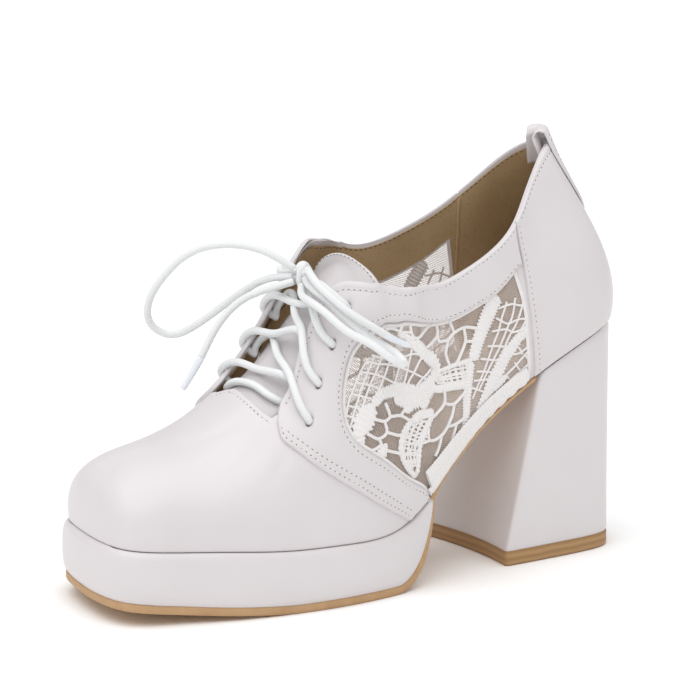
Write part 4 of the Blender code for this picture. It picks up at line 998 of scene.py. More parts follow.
# %% [markdown]
# ## Tongue and pull loop
# The tongue is a leather flap that is sewn under the vamp and rises to a rounded free end with a stitched
# rolled edge. The pull loop is a strip of the same leather folded over the back seam. Both are grids of a few
# rows, refined with splines and given a wall with eased edges.

# %% Tongue
THICK = 1.5
GAP = .35                  # between the wall and what lies under it
TONGUE_GRID = (90, 60)     # rows and columns of its refined surface
TONGUE_RELAX = 5           # rows over which its surface is smoothed
TONGUE_EASE = 2.5          # rows and columns over which its edge is rounded off
OUTER_EASE, INNER_EASE = .55, .45  # how far its two faces draw together at the edge
TONGUE_ROWS = [  # u, v of the side edges, depth under the upper's surface, rise of the edges
    (8.95, .84, .5, .0), (8.60, .76, .5, .0), (8.20, .70, 1.2, .0), (7.80, .655, 3.2, .6),
    (7.40, .63, 5.2, 1.8), (7.05, .62, 5.8, 2.4), (6.75, .62, 8.8, 3.0), (6.52, .63, 10.4, 3.8)]
TONGUE_END = [(22.5, 114.5, 114.5), (18.5, 115, 119), (12, 117, 123.3), (3, 119, 125.9), (-6, 120, 125.2),
              (-12.5, 121, 121.5), (-17, 121.5, 115)]


def refined(grid, rows, columns):
    """Grid of points refined with splines both ways."""
    for count in (rows, columns):
        grid = spline(np.arange(len(grid)), grid, np.linspace(0, len(grid) - 1, count)).transpose(1, 0, 2)
    return grid


def relaxed(grid, spread):
    """Grid smoothed from row to row, with its first and last row kept."""
    reach = 3 * spread
    weights = np.exp(-.5 * (np.arange(-reach, reach + 1) / spread)**2)
    longer = np.concatenate([2 * grid[:1] - grid[reach:0:-1], grid, 2 * grid[-1:] - grid[-2:-reach - 2:-1]])
    return sum(w * longer[k:k + len(grid)] for k, w in enumerate(weights / weights.sum()))


def grid_normals(grid):
    return unit(np.cross(np.gradient(grid, axis=1), np.gradient(grid, axis=0)))


def sheet(outer, inner):
    """Solid between two grids of points with the same rows and columns."""
    rows, columns = outer.shape[:2]
    index = np.arange(rows * columns * 2).reshape(2, rows, columns)
    faces = []
    for layer in (0, 1):
        for i in range(rows - 1):
            for j in range(columns - 1):
                faces.append([index[layer, i, j], index[layer, i, j + 1], index[layer, i + 1, j + 1],
                              index[layer, i + 1, j]])
    rim = [(i, 0) for i in range(rows)] + [(rows - 1, j) for j in range(1, columns)]
    rim += [(i, columns - 1) for i in range(rows - 2, -1, -1)] + [(0, j) for j in range(columns - 2, 0, -1)]
    for (i, j), (p, q) in zip(rim, rim[1:] + rim[:1]):
        faces.append([index[0, i, j], index[0, p, q], index[1, p, q], index[1, i, j]])
    return np.concatenate([outer.reshape(-1, 3), inner.reshape(-1, 3)]), faces


def eased(rows, columns, spread):
    """Share of the full thickness at each point of a grid, falling off at its edges."""
    i, j = np.meshgrid(np.arange(rows), np.arange(columns), indexing="ij")
    edge = np.minimum(np.minimum(i, rows - 1 - i), np.minimum(j, columns - 1 - j)) / spread
    return np.sqrt(1 - (1 - np.clip(edge, 0, 1))**2)[..., None]


edge_share = np.linspace(1, 0, 6)
grid = []
for u, edge, depth, rise in TONGUE_ROWS:
    v = 1 - (1 - edge) * edge_share
    down = rise * edge_share**2 - (WALL + GAP + depth)
    grid.append(np.concatenate([offset(u + 0 * v, v, down), offset(-u + 0 * v, v, down)[-2::-1]]))
chord = run_along(TONGUE_END)
end = spline(chord, TONGUE_END, np.linspace(0, chord[-1], 11))
grid += [grid[-1] + share * (end - grid[-1]) for share in (.35, .7, 1)]
tongue_face = relaxed(refined(np.array(grid), *TONGUE_GRID), TONGUE_RELAX)
tongue_out = grid_normals(tongue_face)
tongue_out *= np.sign(tongue_out[..., 2].mean())
round_off = eased(*TONGUE_GRID, TONGUE_EASE)
shape = sheet(tongue_face - tongue_out * OUTER_EASE * (1 - round_off),
              tongue_face - tongue_out * (THICK - INNER_EASE * (1 - round_off)))
count = (TONGUE_GRID[0] - 1) * (TONGUE_GRID[1] - 1)
which = np.zeros(len(shape[1]), int)
which[count:2 * count] = 1
add_piece("tongue_leather", shape, [leather, lining_tan], ["tongue"], which)
print("tongue:", len(shape[1]), "faces")

# %% Pull loop
LOOP_HALF, LOOP_INNER = .70, .92   # half widths in u of its outer and inner leg
OUTER_LEG, INNER_LEG = (.60, .66, .72, .79, .86, .92, .97), (1.0, .95, .90)    # v of their rows
LOOP_GRID = (110, 31)      # rows and columns of its refined surface
LOOP_EASE, TAPE_EDGE = 2.2, .35    # columns over which its edge is rounded off, and thickness left there
FOLD = 4.2                 # height over the collar where the strip starts to fold over
TUCKED = .6                # how far its lower end is sunk into the counter
TAPE = 1.2
LEG_OUT, LEG_IN = OVERLAY + TAPE / 2 + .05, -(WALL + TAPE / 2 + .6)
middle, reach = (LEG_OUT + LEG_IN) / 2, (LEG_OUT - LEG_IN) / 2
span = np.linspace(-1, 1, 7)
grid = []
for v in OUTER_LEG:
    u = span * LOOP_HALF * (.50 + .50 * (v - .6) / .4)     # half as wide at its lower end
    grid.append(offset(u, v, LEG_OUT - TUCKED * (v == OUTER_LEG[0])))
for turn in np.radians([0, 30, 60, 90, 120, 150, 180]):
    u = span * (LOOP_HALF + (LOOP_INNER - LOOP_HALF) * turn / math.pi)
    top = surface(u, 1)
    rise = unit(top - surface(u, OUTER_LEG[-1]))
    grid.append(top + facing_out(u, 1) * (middle + reach * math.cos(turn))
                + rise * (FOLD + reach * math.sin(turn)))
for v in INNER_LEG:
    grid.append(offset(span * LOOP_INNER, v, LEG_IN))
loop_face = refined(np.array(grid), *LOOP_GRID)
loop_out = grid_normals(loop_face)
loop_out *= np.sign((loop_out[5] * facing_out(0.0, .65)).sum(-1).mean())
round_off = eased(*LOOP_GRID, LOOP_EASE)
half = TAPE / 2 * (TAPE_EDGE + (1 - TAPE_EDGE) * round_off)
add_piece("pull_loop_leather", sheet(loop_face + loop_out * half, loop_face - loop_out * half), [leather],
          ["pull_loop"])
print("pull loop:", len(loop_face), "rows")

# %% [markdown]
# ## Sole, platform and heel
# The platform and the heel are blocks covered with the same leather, the outsole is a thin tan sheet and the
# heel stands on a brown lift. Each is a stack of outlines that follow the sole edge, as in the CAD, with
# more stations, a rounded side and eased edges.

# %% Outlines of the sole
OUTSOLE = 3.3
SHANK = 2.2
TOE_SPRING = 6.3
SPRING_POWER = 1.3         # how the lift grows from its start to the toe
SPRING_START = 165.0
PLATFORM_BACK = 120.0
PLATFORM_TURN = (21.5, 34.0)
BREAST = 43.0
LIFT = 6.0
BREAST_HOLLOW = 3.0
PLATFORM_SIDE = [  # share of its height, and how far it stands out from the sole edge
    (0.0, 1.0), (.03, 1.45), (.09, 2.0), (.16, 2.35), (.25, 2.6), (.40, 2.75), (.60, 2.7), (.75, 2.5),
    (.86, 2.15), (.92, 1.75), (.965, 1.2), (1.0, .5)]
OUTSOLE_OUT = 1.4          # how far the outsole's edge stands out from the sole edge, and under the arch
WAIST_OUT = .6
SOLE_SKIN = .05            # clearance between platform or heel and what they stand on
SEAT_SKIN = .1             # clearance between the upper's edge and the sole or the heel
PLATFORM_LEAST = .6        # least height of the platform, at its back
WAIST = (101, 106)         # s between which the outsole's edge steps out from under the arch
HEEL_FOOT = np.array([(0, .8, 0), (1, 4.5, 19.5), (2, 22.0, 27.6), (2.87, 61.5, 30.6)], float)     # u, s, x
DENSE_U = np.linspace(0, TOE, 1201)
DENSE_S = section_at(DENSE_U)[:, 1]


def u_of(s):
    """Section number whose sole edge is at s."""
    return np.interp(s, DENSE_S, DENSE_U)


def edge_height(s):
    return section_at(u_of(s))[..., 2]


def both_sides(u, out):
    """Sole edge of both sides, moved out in plan."""
    pair = []
    for side in (1, -1):
        values = section_at(side * u)
        point = values[..., 0:3].copy()
        point[..., 0:2] += aim_of(values) * np.broadcast_to(out, u.shape)[..., None]
        pair.append(point)
    return np.stack(pair, -2)


def spring(s):
    """Height of the sole's underside: flat under the ball, lifting to the toe."""
    lift = np.clip((np.asarray(s, float) - SPRING_START) / (LAST_LENGTH - SPRING_START), 0, 1)
    return TOE_SPRING * lift**SPRING_POWER


def turn_points(inset):
    """Curve where the platform's underside turns up to the arch, from the floor to upright."""
    reach, rise = PLATFORM_TURN[0] - inset, PLATFORM_TURN[1] - inset
    angles = np.radians(np.linspace(0, 90, 19))
    return PLATFORM_BACK - reach * np.sin(angles), inset + rise * (1 - np.cos(angles))


def slab(rings):
    """Solid between stacked rings: rings[level, station, side], stations from the back to the toe."""
    levels, stations = rings.shape[:2]
    index = np.arange(levels * stations * 2).reshape(levels, stations, 2)
    faces = []
    for k in range(stations - 1):
        for side in (0, 1):
            for r in range(levels - 1):
                faces.append([index[r, k, side], index[r, k + 1, side], index[r + 1, k + 1, side],
                              index[r + 1, k, side]])
        for r in (0, levels - 1):
            faces.append([index[r, k, 0], index[r, k + 1, 0], index[r, k + 1, 1], index[r, k, 1]])
    for k in (0, stations - 1):
        for r in range(levels - 1):
            faces.append([index[r, k, 0], index[r + 1, k, 0], index[r + 1, k, 1], index[r, k, 1]])
    points = rings.reshape(-1, 3)
    keys, numbers = {}, []
    for point in np.round(points, 4):
        numbers.append(keys.setdefault(tuple(point), len(numbers)))
    tidy = []
    for face in faces:
        ring = [numbers[i] for i in face]
        ring = [i for k, i in enumerate(ring) if i != ring[k - 1]]
        if len(set(ring)) > 2:
            tidy.append(ring)
    return points, tidy


TOE_FROM, U_STEP, TOE_STEP = 9.6, .1, .05  # stations are closer together round the toe
TOE_STATIONS = np.arange(TOE_FROM, TOE + .001, TOE_STEP)
FORWARD = np.concatenate([np.arange(u_of(PLATFORM_BACK) + U_STEP, TOE_FROM, U_STEP), TOE_STATIONS])
print("stations of the forefoot:", len(FORWARD))

# %% Sole materials
# Moulded tan rubber: matt, with a faint mottling and a fine blasted texture
sole_tan, tree, shader, spot = start_material("moulded tan rubber", Roughness=.58, Specular_IOR_Level=.35)
cloud = node(tree, "ShaderNodeTexNoise", {"Vector": spot, "Scale": per_metre(6), "Detail": 5.0})
grit = node(tree, "ShaderNodeTexNoise", {"Vector": spot, "Scale": per_metre(.8), "Detail": 2.0})
shade = node(tree, "ShaderNodeMix", {"Factor": cloud.outputs[0], "A": linear("#B08A62"),
                                     "B": linear("#C7A47C")}, data_type="RGBA")
bump = node(tree, "ShaderNodeBump", {"Height": grit.outputs[0], "Strength": .25, "Distance": .1 * MM})
tree.links.new(shade.outputs["Result"], shader.inputs["Base Color"])
tree.links.new(bump.outputs[0], shader.inputs["Normal"])
# Pressed brown heel lift: layers show as faint level bands in its side
LAYER = 1.4
lift_brown, tree, shader, spot = start_material("pressed brown lift", Roughness=.55, Specular_IOR_Level=.35)
bands = node(tree, "ShaderNodeTexWave", {"Vector": spot, "Scale": per_metre(LAYER) / (2 * math.pi),
                                         "Distortion": 1.5, "Detail": 3.0}, bands_direction="Z")
shade = node(tree, "ShaderNodeMix", {"Factor": bands.outputs["Fac"], "A": linear("#9C7850"),
                                     "B": linear("#B08C62")}, data_type="RGBA")
bump = node(tree, "ShaderNodeBump", {"Height": bands.outputs["Fac"], "Strength": .2, "Distance": .1 * MM})
tree.links.new(shade.outputs["Result"], shader.inputs["Base Color"])
tree.links.new(bump.outputs[0], shader.inputs["Normal"])
print("layers of the lift:", LAYER, "mm")

# %% Platform, outsole and insole
back, climb = turn_points(OUTSOLE + SOLE_SKIN)
u = np.concatenate([u_of(back[::-1]), FORWARD])
s = section_at(u)[:, 1]
low = np.concatenate([climb[::-1], spring(section_at(FORWARD)[:, 1]) + OUTSOLE + SOLE_SKIN])
high = edge_height(s) - 2 * SEAT_SKIN
low = np.minimum(low, high - PLATFORM_LEAST)
rings = []
for share, out in PLATFORM_SIDE:
    ring = both_sides(u, out)
    ring[..., 2] = (low + share * (high - low))[:, None]
    rings.append(ring)
add_piece("platform_leather", slab(np.array(rings)), [leather], ["platform"])

ARCH_FRONT = 95.0          # s where the outsole leaves the arch to follow the platform's back
ARCH_CORNER, UNDER_CORNER = 100.2, (97.3, 35.6)    # s of that corner above, and s and z below
LEVELS = [(0, .5), (.14, 0), (.86, 0), (1, .35)]   # share of the thickness and how far the edge draws in
out_s, out_z = turn_points(0)
in_s, in_z = turn_points(OUTSOLE)
arch = np.linspace(ARCH_FRONT, BREAST + 1.2, 40)[::-1]
roof = edge_height(arch) - SEAT_SKIN
corner = (ARCH_CORNER, edge_height(ARCH_CORNER) - SEAT_SKIN)
under = np.vstack([np.stack([arch + 1.0, roof - SHANK], 1), UNDER_CORNER, np.stack([out_s, out_z], 1)[::-1]])
over = np.vstack([np.stack([arch, roof], 1), corner, np.stack([in_s, in_z], 1)[::-1]])
rings = []
for share, inset in LEVELS:
    rows = under + share * (over - under)
    out = np.interp(rows[:, 0], WAIST, [WAIST_OUT, OUTSOLE_OUT]) - inset
    back = both_sides(u_of(rows[:, 0]), out)
    back[..., 1] = rows[:, 0, None]
    back[..., 2] = rows[:, 1, None]
    forward = both_sides(FORWARD, OUTSOLE_OUT - inset)
    forward[..., 2] = (spring(section_at(FORWARD)[:, 1]) + share * OUTSOLE)[:, None]
    rings.append(np.concatenate([back, forward]))
add_piece("outsole_rubber", slab(np.array(rings)), [sole_tan], ["outsole"], crease=60)

INSOLE = 2.6
INSOLE_RINGS = [(.2, 0), (INSOLE - .6, 0), (INSOLE, .6)]   # height over the sole edge, and inset
u = np.concatenate([np.arange(0, TOE_FROM, U_STEP), TOE_STATIONS])
rings = []
for height, inset in INSOLE_RINGS:
    ring = both_sides(u, -(WALL + .5 + inset))
    ring[..., 2] = edge_height(section_at(u)[:, 1])[:, None] + height
    rings.append(ring)
add_piece("insole_sock", slab(np.array(rings)), [sock_pale], ["insole"], crease=60)
print("platform, outsole and insole made")

# %% Heel and lift
RING_POINTS = 220
CORNER = 1.6               # how far the outline is softened at the heel's front corners
SPREAD = 12                # points to each side that the softening takes in
SEAT_OUT = 1.1             # how far the heel's seat stands out from the sole edge
HOLLOW_TOP = .35           # share of the front's hollow at the seat
HEEL_EDGE = .5             # how far the heel draws in at its very top and bottom
LIFT_RINGS = [(0, .7), (.5, .15), (1.0, 0), (LIFT - .6, 0), (LIFT, .35)]   # height and inset
DROPS = np.concatenate([[0], np.linspace(.02, .985, 26), [1.0]])   # levels of the heel, from its seat down


def heel_ring(drop, height=None, inset=0.0):
    """Closed heel outline between its seat (drop 0) and the floor (drop 1), with the hollow front face."""
    last = float(u_of(BREAST))
    u = np.linspace(0, last, 60)
    seat = both_sides(u, SEAT_OUT)
    t = np.concatenate([-HEEL_FOOT[:0:-1, 0], HEEL_FOOT[:, 0]])
    foot_s = spline(t, np.concatenate([HEEL_FOOT[:0:-1, 1], HEEL_FOOT[:, 1]]), u * HEEL_FOOT[-1, 0] / last)
    foot_x = spline(t, np.concatenate([-HEEL_FOOT[:0:-1, 2], HEEL_FOOT[:, 2]]), u * HEEL_FOOT[-1, 0] / last)
    ring = seat.copy()
    for k, side in ((0, 1), (1, -1)):
        ring[:, k, 0] += drop * (side * foot_x - seat[:, k, 0])
        ring[:, k, 1] += drop * (foot_s - seat[:, k, 1])
    top = section_at(u)[:, 2] - SEAT_SKIN
    z = np.full(len(u), height) if height is not None else top + drop * (LIFT + SOLE_SKIN - top)
    ring[..., 2] = z[:, None]
    share = np.linspace(0, 1, 40)[1:-1]
    bow = BREAST_HOLLOW * (HOLLOW_TOP + (1 - HOLLOW_TOP) * drop) * np.sin(math.pi * share)**.8
    front = ring[-1, 0] + share[:, None] * (ring[-1, 1] - ring[-1, 0])
    front[:, 1] -= bow
    loop = np.concatenate([ring[:, 0], front, ring[:0:-1, 1]])
    closed = np.vstack([loop, loop[:1]])
    run = run_along(closed)
    even = np.linspace(0, run[-1], RING_POINTS, endpoint=False)
    loop = np.stack([np.interp(even, run, closed[:, k]) for k in range(3)], 1)
    width = CORNER / (run[-1] / RING_POINTS)
    around = np.arange(-SPREAD, SPREAD + 1)
    weights = np.exp(-.5 * (around / width)**2)
    weights /= weights.sum()
    plan = sum(w * np.roll(loop[:, :2], k, axis=0) for w, k in zip(weights, around))
    centre = plan.mean(0)
    away = plan - centre
    loop[:, :2] = centre + away * (1 - inset / np.linalg.norm(away, axis=1, keepdims=True))
    return loop


rings = [heel_ring(d, inset=HEEL_EDGE * (d in (0, 1))) for d in DROPS]
add_piece("heel_leather", stacked(rings), [leather], ["heel_block"])
lift = [heel_ring(1.0, z, inset) for z, inset in LIFT_RINGS]
add_piece("heel_lift", stacked(lift), [lift_brown], ["top_lift"])
print("heel:", len(rings), "levels")

# %% [markdown]
# ## Lace
# The windows hold guipure lace: heavy cotton embroidery with no ground cloth, so the pattern is all thread.
# Thin lines make a square net, stouter bars (brides) tie the motifs together, and the leaves and petals are
# packed satin stitch, which looks like a comb of parallel threads. The strokes are read off an enlarged view
# of the photograph and carried back along the line of sight on to the window; the inner side is their mirror.

# %% Strokes of the lace
LACE_CORNER = np.array([325, 295])     # the enlarged view's corner in the photograph, and its enlargement
LACE_ZOOM = 7.127
NET = [  # places in the enlarged view
    [(300, 465), (255, 545), (215, 640), (180, 730), (160, 800), (148, 900)],
    [(350, 440), (300, 560), (262, 660), (232, 760), (205, 850), (180, 950)],
    [(405, 440), (365, 545), (330, 620), (300, 700), (270, 790), (240, 880)],
    [(470, 440), (430, 560), (395, 650), (360, 720)], [(545, 420), (515, 560), (480, 690)],
    [(620, 390), (585, 540), (555, 660)], [(690, 440), (640, 540), (600, 610), (570, 680)],
    [(750, 530), (690, 600), (630, 690)],
    [(330, 430), (400, 445), (470, 450), (560, 440), (640, 420), (710, 420)],
    [(290, 475), (370, 490), (450, 495), (540, 520), (640, 560), (750, 600)],
    [(250, 550), (330, 560), (400, 580), (480, 620), (570, 660)],
    [(220, 625), (300, 640), (380, 665), (450, 690)], [(185, 705), (260, 722), (330, 742), (380, 760)],
    [(160, 790), (230, 805), (290, 822), (340, 840)], [(140, 862), (200, 872), (260, 895)],
    [(1295, 50), (1260, 160), (1235, 260), (1200, 350), (1165, 450), (1130, 550), (1090, 640), (1050, 740)],
    [(1355, 20), (1335, 150), (1300, 230), (1265, 320), (1230, 400), (1190, 480), (1150, 560), (1095, 680)],
    [(1420, 20), (1390, 130), (1360, 210), (1310, 300), (1265, 410)],
    [(1470, 60), (1430, 180), (1390, 260)], [(1240, 95), (1330, 65), (1400, 75), (1480, 60)],
    [(1220, 165), (1300, 205), (1340, 190), (1400, 170), (1480, 180)],
    [(1190, 260), (1290, 245), (1340, 265), (1420, 240)], [(1160, 365), (1250, 365), (1320, 380)],
    [(1110, 455), (1215, 465), (1270, 450)], [(1080, 545), (1200, 550)], [(1060, 612), (1170, 600)],
    [(1040, 660), (1130, 690)], [(1310, 425), (1390, 410), (1490, 335)],
    [(1260, 600), (1350, 510), (1440, 410), (1500, 360)],
    [(1230, 700), (1330, 600), (1420, 520), (1490, 450)], [(1350, 480), (1390, 540)],
    [(1420, 420), (1460, 480)], [(1290, 570), (1320, 610)], [(1380, 370), (1405, 420)],
    [(1440, 290), (1480, 360)], [(830, 560), (850, 640)], [(880, 540), (900, 640)],
    [(930, 520), (950, 630)], [(980, 500), (990, 630)], [(810, 600), (900, 575), (1000, 555)],
    [(700, 900), (740, 900)], [(580, 1010), (700, 980)], [(560, 1070), (680, 1050)],
    [(555, 1130), (670, 1120)], [(570, 1190), (665, 1190)],
    [(640, 910), (600, 1020), (600, 1120), (625, 1240)],
    [(690, 890), (650, 1000), (635, 1110), (640, 1220)],
]
BRIDES = [
    [(430, 770), (455, 830), (470, 865), (540, 860), (600, 890), (645, 890)],
    [(345, 885), (425, 900), (470, 865)], [(425, 900), (440, 980), (380, 1025), (300, 990)],
    [(440, 980), (530, 1000), (575, 960)], [(380, 1025), (400, 1065), (330, 1110), (260, 1090)],
    [(400, 1065), (450, 1110), (540, 1130)], [(540, 860), (575, 810), (600, 790)],
    [(450, 1110), (440, 1190), (520, 1260)], [(330, 1110), (370, 1180)],
    [(850, 680), (850, 770), (800, 840), (750, 880)], [(850, 770), (920, 775), (1000, 690)],
    [(920, 775), (905, 860), (880, 930), (930, 920), (990, 880)],
    [(880, 930), (830, 1000), (745, 1035), (735, 950)], [(830, 1000), (810, 1090), (785, 1150)],
    [(935, 920), (915, 1000), (890, 1090)], [(745, 1035), (680, 1060)],
    [(790, 180), (800, 280), (770, 330), (720, 380)],
    [(800, 280), (810, 330), (870, 330), (860, 420), (890, 510)],
    [(870, 330), (920, 270), (1000, 230), (1090, 240)],
    [(605, 180), (615, 270), (650, 310), (720, 240), (790, 190)],
    [(990, 240), (1000, 330), (960, 440), (930, 500)], [(1000, 330), (1070, 330)],
    [(560, 190), (540, 270), (615, 270)], [(430, 250), (540, 270), (600, 340)], [(650, 310), (690, 370)],
    [(880, 170), (920, 270)],
]
SATIN = [  # widths in the enlarged view, evenly along the stroke, then places
    ((120, 120, 105, 90), [(1225, 0), (1175, 110), (1130, 220), (1090, 330), (1055, 470)]),
    ((60, 95, 110, 125, 110, 80),
     [(1410, 260), (1350, 350), (1285, 440), (1240, 530), (1195, 620), (1150, 720), (1085, 850)]),
    ((70, 80, 80, 80), [(1040, 470), (1025, 600), (1012, 740), (1005, 880), (985, 1010)]),
    ((30, 36, 40), [(800, 545), (900, 508), (1000, 475), (1050, 465)]),
    ((56, 66, 60), [(745, 650), (880, 655), (1010, 635)]),
    ((80, 150, 165, 120), [(490, 742), (570, 742), (650, 730), (720, 680), (770, 600)]),
    ((50, 110, 120, 90), [(575, 340), (680, 385), (755, 455), (790, 530), (765, 610)]),
    ((70, 105, 90, 70), [(650, 680), (560, 675), (470, 685), (400, 715), (340, 790)]),
    ((80, 140, 150, 90, 50), [(340, 770), (305, 850), (268, 930), (245, 1000), (275, 1070)]),
    ((50, 56, 50, 44), [(620, 890), (568, 975), (545, 1060), (550, 1140), (590, 1230), (650, 1300)]),
    ((60, 76, 66), [(620, 900), (690, 852), (775, 832)]),
    ((56, 50, 46, 44), [(770, 840), (735, 920), (700, 990), (676, 1080), (666, 1190), (655, 1290)]),
    ((50, 90, 60), [(440, 1055), (410, 1120), (380, 1185)]),
    ((50, 80, 50), [(1470, 190), (1420, 270), (1370, 330)]),
    ((50, 70, 40), [(700, 690), (720, 760), (690, 810)]),
    ((40, 80, 50), [(620, 740), (600, 800), (560, 830)]),
    ((50, 66, 40), [(1190, 690), (1240, 640), (1300, 560)]),
    ((40, 56, 40), [(640, 330), (580, 300), (520, 290)]),
]
FILL = [  # dense stippled fillings: places of a middle line, with the half width to both sides of it
    ([(700, 900), (655, 980), (625, 1060), (608, 1140), (625, 1220)], (62, 84, 72, 60, 40)),
    ([(790, 600), (860, 578), (930, 560), (1010, 545)], (36, 62, 74, 70)),
]
FILL_PITCH = 34            # between the lines of a filling in the enlarged view
print("strokes:", len(NET), "net lines,", len(BRIDES), "brides,", len(SATIN), "satin shapes")

# %% Carry the strokes on to the window
PANEL = .9
LACE_LEVEL = -GAP - PANEL / 2      # the lace's middle, under the upper's surface
NET_HALF, BRIDE_HALF, FILL_HALF = .46, .66, .42
SATIN_RISE = .70
SATIN_PITCH = 1.25         # one bundle of satin threads
SATIN_TAPER = 1.2          # length over which a satin shape runs out at its ends
THREAD_STEP, SATIN_STEP = .7, .24  # spacing of the points along a thread and along a satin shape
FILL_LANES = np.arange(-.8, .81, .4)       # places of the lines along a filling, as shares of its half width
FIELD_INSET, FIELD_LOW = .35, .008 # how far the threads keep from the window's edge, and their lowest v
COMB_WIDTH, COMB_RISE = .14, .20   # how deep the bundles cut into a satin shape's width and height
LACE_U, LACE_V = np.meshgrid(np.linspace(2.85, 7.1, 110), np.linspace(0, .86, 80))     # first guesses
LACE_GRID = np.stack([LACE_U.ravel(), LACE_V.ravel()], 1)
LACE_SEEN = to_pixels(offset(*LACE_GRID.T, LACE_LEVEL))
SMALL = 1e-3


def on_window(places):
    """Sheet places (u, v) of places in the enlarged view."""
    pixels = LACE_CORNER + np.asarray(places, float) / LACE_ZOOM
    found = np.array([LACE_GRID[np.argmin(((LACE_SEEN - p)**2).sum(1))] for p in pixels])
    for _ in range(4):
        u, v = found.T
        here = to_pixels(offset(u, v, LACE_LEVEL))
        du = (to_pixels(offset(u + SMALL, v, LACE_LEVEL)) - here) / SMALL
        dv = (to_pixels(offset(u, v + SMALL, LACE_LEVEL)) - here) / SMALL
        miss = pixels - here
        det = du[:, 0] * dv[:, 1] - du[:, 1] * dv[:, 0]
        step = np.stack([(miss[:, 0] * dv[:, 1] - miss[:, 1] * dv[:, 0]) / det,
                         (du[:, 0] * miss[:, 1] - du[:, 1] * miss[:, 0]) / det], 1)
        found = found + np.clip(step, -.1, .1)
    return found


def ribbon(line, half, rise, side, sides=8, level=LACE_LEVEL):
    """Thread or satin strip along a sheet line: an oval section that lies on the surface."""
    u, v = line[:, 0] * side, line[:, 1]
    centre = offset(u, v, level)
    out = facing_out(u, v)
    across = unit(np.cross(out, unit(np.gradient(centre, axis=0))))
    turns = np.arange(sides) * 2 * math.pi / sides
    half, rise = (np.broadcast_to(x, len(line))[:, None, None] for x in (half, rise))
    rings = (centre[:, None] + half * np.cos(turns)[None, :, None] * across[:, None]
             + rise * np.sin(turns)[None, :, None] * out[:, None])
    return stacked(rings)


def runs_inside(line, loop):
    """The parts of a sheet line that lie inside an outline."""
    held = inside(line, loop)
    cuts = np.flatnonzero(np.diff(held.astype(int))) + 1
    return [run for run, keep in zip(np.split(line, cuts), np.split(held, cuts)) if keep[0] and len(run) > 4]


field = window(FIELD_INSET)
field[:, 1] = np.maximum(field[:, 1], FIELD_LOW)
threads = []
for strokes, half in ((NET, NET_HALF), (BRIDES, BRIDE_HALF)):
    for stroke in strokes:
        for line in runs_inside(smooth_line(on_window(stroke), THREAD_STEP), field):
            threads.append((line, half, half))
for middle, half in FILL:
    middle = smooth_line(np.array(middle) / SHEET, FILL_PITCH) * SHEET
    ahead = np.gradient(middle, axis=0)
    across = unit(np.stack([-ahead[:, 1], ahead[:, 0]], 1))
    reach = np.interp(np.linspace(0, 1, len(middle)), np.linspace(0, 1, len(half)), half)[:, None]
    lanes = [middle + across * reach * k for k in FILL_LANES]
    rungs = [np.linspace(p - c * r, p + c * r, 5) for p, c, r in zip(middle, across, reach)]
    for stroke in lanes + rungs:
        for line in runs_inside(smooth_line(on_window(stroke), THREAD_STEP), field):
            threads.append((line, FILL_HALF, FILL_HALF))
for widths, stroke in SATIN:
    line = smooth_line(on_window(stroke), SATIN_STEP)
    share = np.linspace(0, 1, len(line))
    width = np.interp(share, np.linspace(0, 1, len(widths)), widths) / LACE_ZOOM / 2 / (FOCAL / DISTANCE)
    run = run_along(line * SHEET)
    comb = np.sin(2 * math.pi * run / SATIN_PITCH)
    taper = np.sqrt(np.clip(np.minimum(share, 1 - share) * run[-1] / SATIN_TAPER, .02, 1))
    half = width * (1 + COMB_WIDTH * comb) * taper
    rise = SATIN_RISE * (1 - COMB_RISE + COMB_RISE * comb) * taper
    held = inside(line, field)
    cuts = np.flatnonzero(np.diff(held.astype(int))) + 1
    for part in np.split(np.arange(len(line)), cuts):
        if held[part[0]] and len(part) > 6:
            threads.append((line[part], half[part], rise[part]))
print("lace strokes inside the window:", len(threads))

# %% Lace borders and the two panels
# Embroidery cotton: matt, soft white, with a fine twist of threads
THREAD = .45
lace_cotton, tree, shader, spot = start_material("embroidery cotton", Roughness=.85, Sheen_Weight=.25,
                                                 Specular_IOR_Level=.3)
twist = node(tree, "ShaderNodeTexNoise", {"Vector": spot, "Scale": per_metre(THREAD), "Detail": 2.0})
shade = node(tree, "ShaderNodeMix", {"Factor": twist.outputs[0], "A": linear("#DCD8D7"),
                                     "B": linear("#F6F4F3")}, data_type="RGBA")
bump = node(tree, "ShaderNodeBump", {"Height": twist.outputs[0], "Strength": .5, "Distance": .15 * MM})
tree.links.new(shade.outputs["Result"], shader.inputs["Base Color"])
tree.links.new(bump.outputs[0], shader.inputs["Normal"])
RIM_INSET, RIM_LOW, RIM_HALF, RIM_RISE = .5, .012, .95, .45    # flat cord along the window's edge
rim = window(RIM_INSET)
rim[:, 1] = np.maximum(rim[:, 1], RIM_LOW)
threads.append((np.vstack([rim, rim[:1]]), RIM_HALF, RIM_RISE))
# Along the sole the lace ends in a band sewn over with close stitches, whose lower edge is scalloped
BORDER_LINES = [  # v and half width, each at the back and the fore end, then depth of the scallops and level
    (.064, .088, 2.9, 5.9, .0, .05), (.036, .036, 2.1, 2.2, .42, .30)]
BORDER_BACK, BORDER_FORE = COUNTER_SEAM[-1][0] + .12, 5.35     # u where they start and end
BORDER_COMB = .04
SCALLOP = 5.2              # length of one scallop
borders = []
for back_v, fore_v, back_half, fore_half, scallop, level in BORDER_LINES:
    line = straight((BORDER_BACK, back_v), (BORDER_FORE, fore_v), SATIN_STEP)
    run = np.arange(len(line)) * SATIN_STEP
    wave = np.abs(np.sin(math.pi * run / SCALLOP))
    comb = np.sin(2 * math.pi * run / SATIN_PITCH)
    half = np.linspace(back_half, fore_half, len(line)) * (1 - scallop * (1 - wave) + BORDER_COMB * comb)
    borders.append((line, half, SATIN_RISE * (1 - COMB_RISE + COMB_RISE * comb), level))
